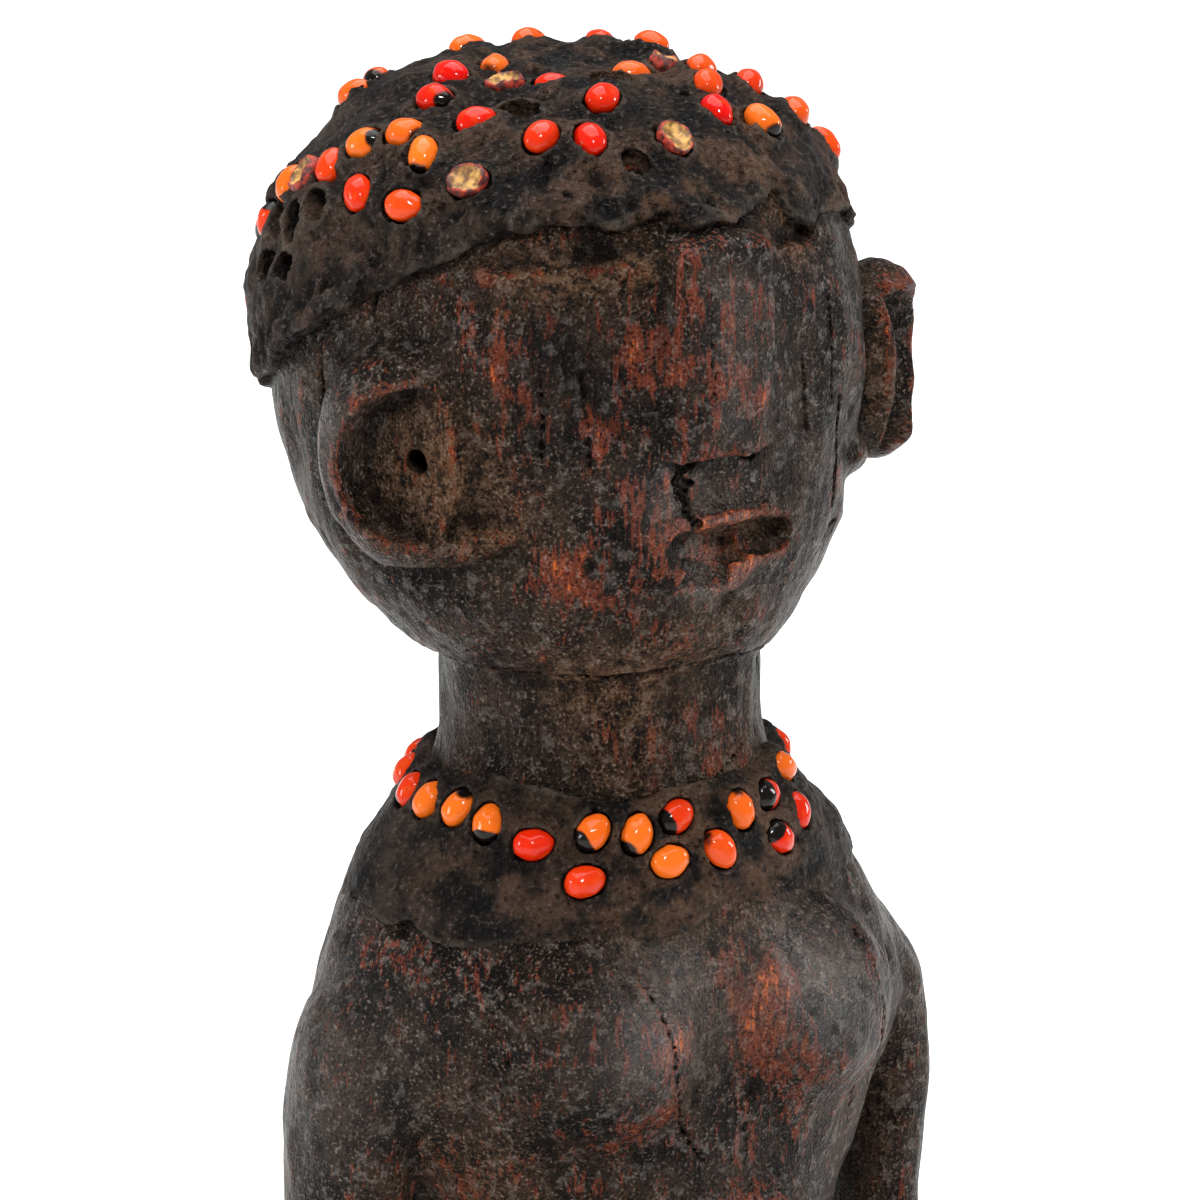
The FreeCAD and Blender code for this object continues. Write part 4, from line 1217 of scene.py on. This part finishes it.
class DOLL_OT_resin_cap(bpy.types.Operator):
    """Lays the resin cap over the crown"""
    bl_idname = "doll.resin_cap"
    bl_label = "Resin cap"

    def execute(self, context):
        settings = context.scene.doll_resin
        piece = make_cap(settings, context.scene.doll_seeds)
        coated(piece, bpy.data.materials.get("charcoal_tree_resin") or plant_resin(settings))
        finish_piece(piece, "resin", "resin_cap")
        return {"FINISHED"}


class DOLL_OT_resin_collar(bpy.types.Operator):
    """Lays the resin collar round the foot of the neck"""
    bl_idname = "doll.resin_collar"
    bl_label = "Resin collar"

    def execute(self, context):
        settings = context.scene.doll_resin
        piece = make_collar(settings, context.scene.doll_seeds)
        coated(piece, bpy.data.materials.get("charcoal_tree_resin") or plant_resin(settings))
        finish_piece(piece, "resin", "resin_collar")
        return {"FINISHED"}


class DOLL_OT_seeds(bpy.types.Operator):
    """Presses the whole seeds into the resin"""
    bl_idname = "doll.seeds"
    bl_label = "Seeds"

    def execute(self, context):
        settings = context.scene.doll_seeds
        coat = rosary_pea(settings)
        for name in sorted(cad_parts):
            if "seed" not in name or "broken" in name:
                continue
            piece = seed_piece(f"pea_{name}", lumps(name), coat, settings, SEED_LOOKS.get(name))
            finish_piece(piece, "seed", name)
        return {"FINISHED"}


class DOLL_OT_broken_seeds(bpy.types.Operator):
    """Presses the broken seeds into the resin"""
    bl_idname = "doll.broken_seeds"
    bl_label = "Broken seeds"

    def execute(self, context):
        settings = context.scene.doll_seeds
        coat = broken_pea(settings)
        for name in sorted(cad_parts):
            if "broken" in name:
                piece = broken_piece(f"pea_{name}", lumps(name)[0], coat, settings)
                finish_piece(piece, "broken_seed", name)
        return {"FINISHED"}


def broken_piece(name, lump, coat, settings):
    """A seed broken open level with the resin: a hull with a sunken kernel."""
    centre, along = lump
    out = outward(centre, name[4:])
    centre = centre + out * 0.6
    turn = seed_axes(out, along).T
    half = half_sizes(settings)
    field = Field(centre - 6, centre + 6, 0.16)
    field.ball(centre, half, turn=turn)
    rough = 0.22 * field.noise((1.3, 1.3, 1.3), 51) + 0.08 * field.noise((0.5, 0.5, 0.5), 52)
    x, y, z = field.axes()
    level = (x - centre[0]) * out[0] + (y - centre[1]) * out[1] + (z - centre[2]) * out[2]
    field.values = np.maximum(field.values, level - 1.1 + rough)
    field.ball(centre + out * 1.6, half * (0.80, 0.80, 0.55), blend=0.25, hollow=True, turn=turn)
    field.values += 0.06 * field.noise((0.5, 0.5, 0.5), 53)
    piece = thinned(field.mesh(name), 9000)
    points = points_of(piece) / MM - centre
    local = points @ turn
    shell = np.sqrt(((local / half) ** 2).sum(1))
    mark(piece, "inside", np.clip((0.93 - shell) * 14, 0, 1))
    return coated(piece, coat)


class DOLL_OT_stage(bpy.types.Operator):
    """Sets up the floor, the lights and the camera"""
    bl_idname = "doll.stage"
    bl_label = "Stage"

    def execute(self, context):
        settings = context.scene.doll_stage
        bpy.ops.mesh.primitive_plane_add(size=14, location=(0, 0, 0))
        floor = context.object
        floor.name = "floor"
        floor.data.materials.append(seamless_paper(settings))
        target = Vector((0, AXIS_Y * MM, 0.253))
        lights = [softbox("ceiling", (0, 0.6, 3.2), Vector((0, 0.6, 0)), 3.6, 200.0),
                  softbox("key", (-0.45, -0.75, 1.05), target, 0.14, 10.0),
                  softbox("side_right", (1.0, -0.25, 0.45), target, 0.25, 4.5),
                  softbox("side_left", (-1.0, 0.35, 0.40), target, 0.25, 4.0)]
        world = bpy.data.worlds.new("white_room")
        world.use_nodes = True
        sky = world.node_tree.nodes["Background"]
        sky.inputs["Color"].default_value = (1, 1, 1, 1)
        sky.inputs["Strength"].default_value = 0.35
        context.scene.world = world
        context.scene.view_settings.view_transform = "Standard"
        a, e = settings.azimuth, settings.elevation
        back = Vector((-math.sin(a) * math.cos(e), -math.cos(a) * math.cos(e), math.sin(e)))
        camera = bpy.data.objects.new("camera", bpy.data.cameras.new("camera"))
        camera.data.sensor_width = 36
        camera.data.lens = 36 * settings.distance / settings.field
        camera.location = target + back * settings.distance
        camera.rotation_euler = back.to_track_quat("Z", "Y").to_euler()
        context.scene.collection.objects.link(camera)
        context.scene.camera = camera
        return {"FINISHED"}


def softbox(name, place, target, size, power):
    lamp = bpy.data.lights.new(name, "AREA")
    lamp.shape = "SQUARE"
    lamp.size = size
    lamp.energy = power
    made = bpy.data.objects.new(name, lamp)
    made.location = place
    made.rotation_euler = (Vector(place) - target).to_track_quat("Z", "Y").to_euler()
    bpy.context.scene.collection.objects.link(made)
    return made


class DOLL_PT_panel(bpy.types.Panel):
    """Lists the doll's pieces"""
    bl_idname = "DOLL_PT_panel"
    bl_label = "Seeded doll"
    bl_space_type = "VIEW_3D"
    bl_region_type = "UI"
    bl_category = "Doll"

    def draw(self, context):
        for operator in OPERATORS:
            self.layout.operator(operator.bl_idname)
        for group in GROUPS:
            settings = getattr(context.scene, group)
            for name in settings.__annotations__:
                self.layout.prop(settings, name)


OPERATORS = (DOLL_OT_wood_head, DOLL_OT_wood_body, DOLL_OT_resin_cap, DOLL_OT_resin_collar,
             DOLL_OT_seeds, DOLL_OT_broken_seeds, DOLL_OT_stage)
GROUPS = {"doll_wood": WoodSettings, "doll_resin": ResinSettings, "doll_seeds": SeedSettings,
          "doll_stage": StageSettings}


def register():
    for item in (*GROUPS.values(), *OPERATORS, DOLL_PT_panel):
        bpy.utils.register_class(item)
    for name, group in GROUPS.items():
        setattr(bpy.types.Scene, name, bpy.props.PointerProperty(type=group))


def unregister():
    for name in GROUPS:
        delattr(bpy.types.Scene, name)
    for item in (DOLL_PT_panel, *reversed(OPERATORS), *GROUPS.values()):
        bpy.utils.unregister_class(item)


def main():
    register()
    for operator in OPERATORS:
        getattr(bpy.ops.doll, operator.bl_idname.split(".")[1])()
    bpy.context.view_layer.update()


if __name__ == "__main__":
    main()
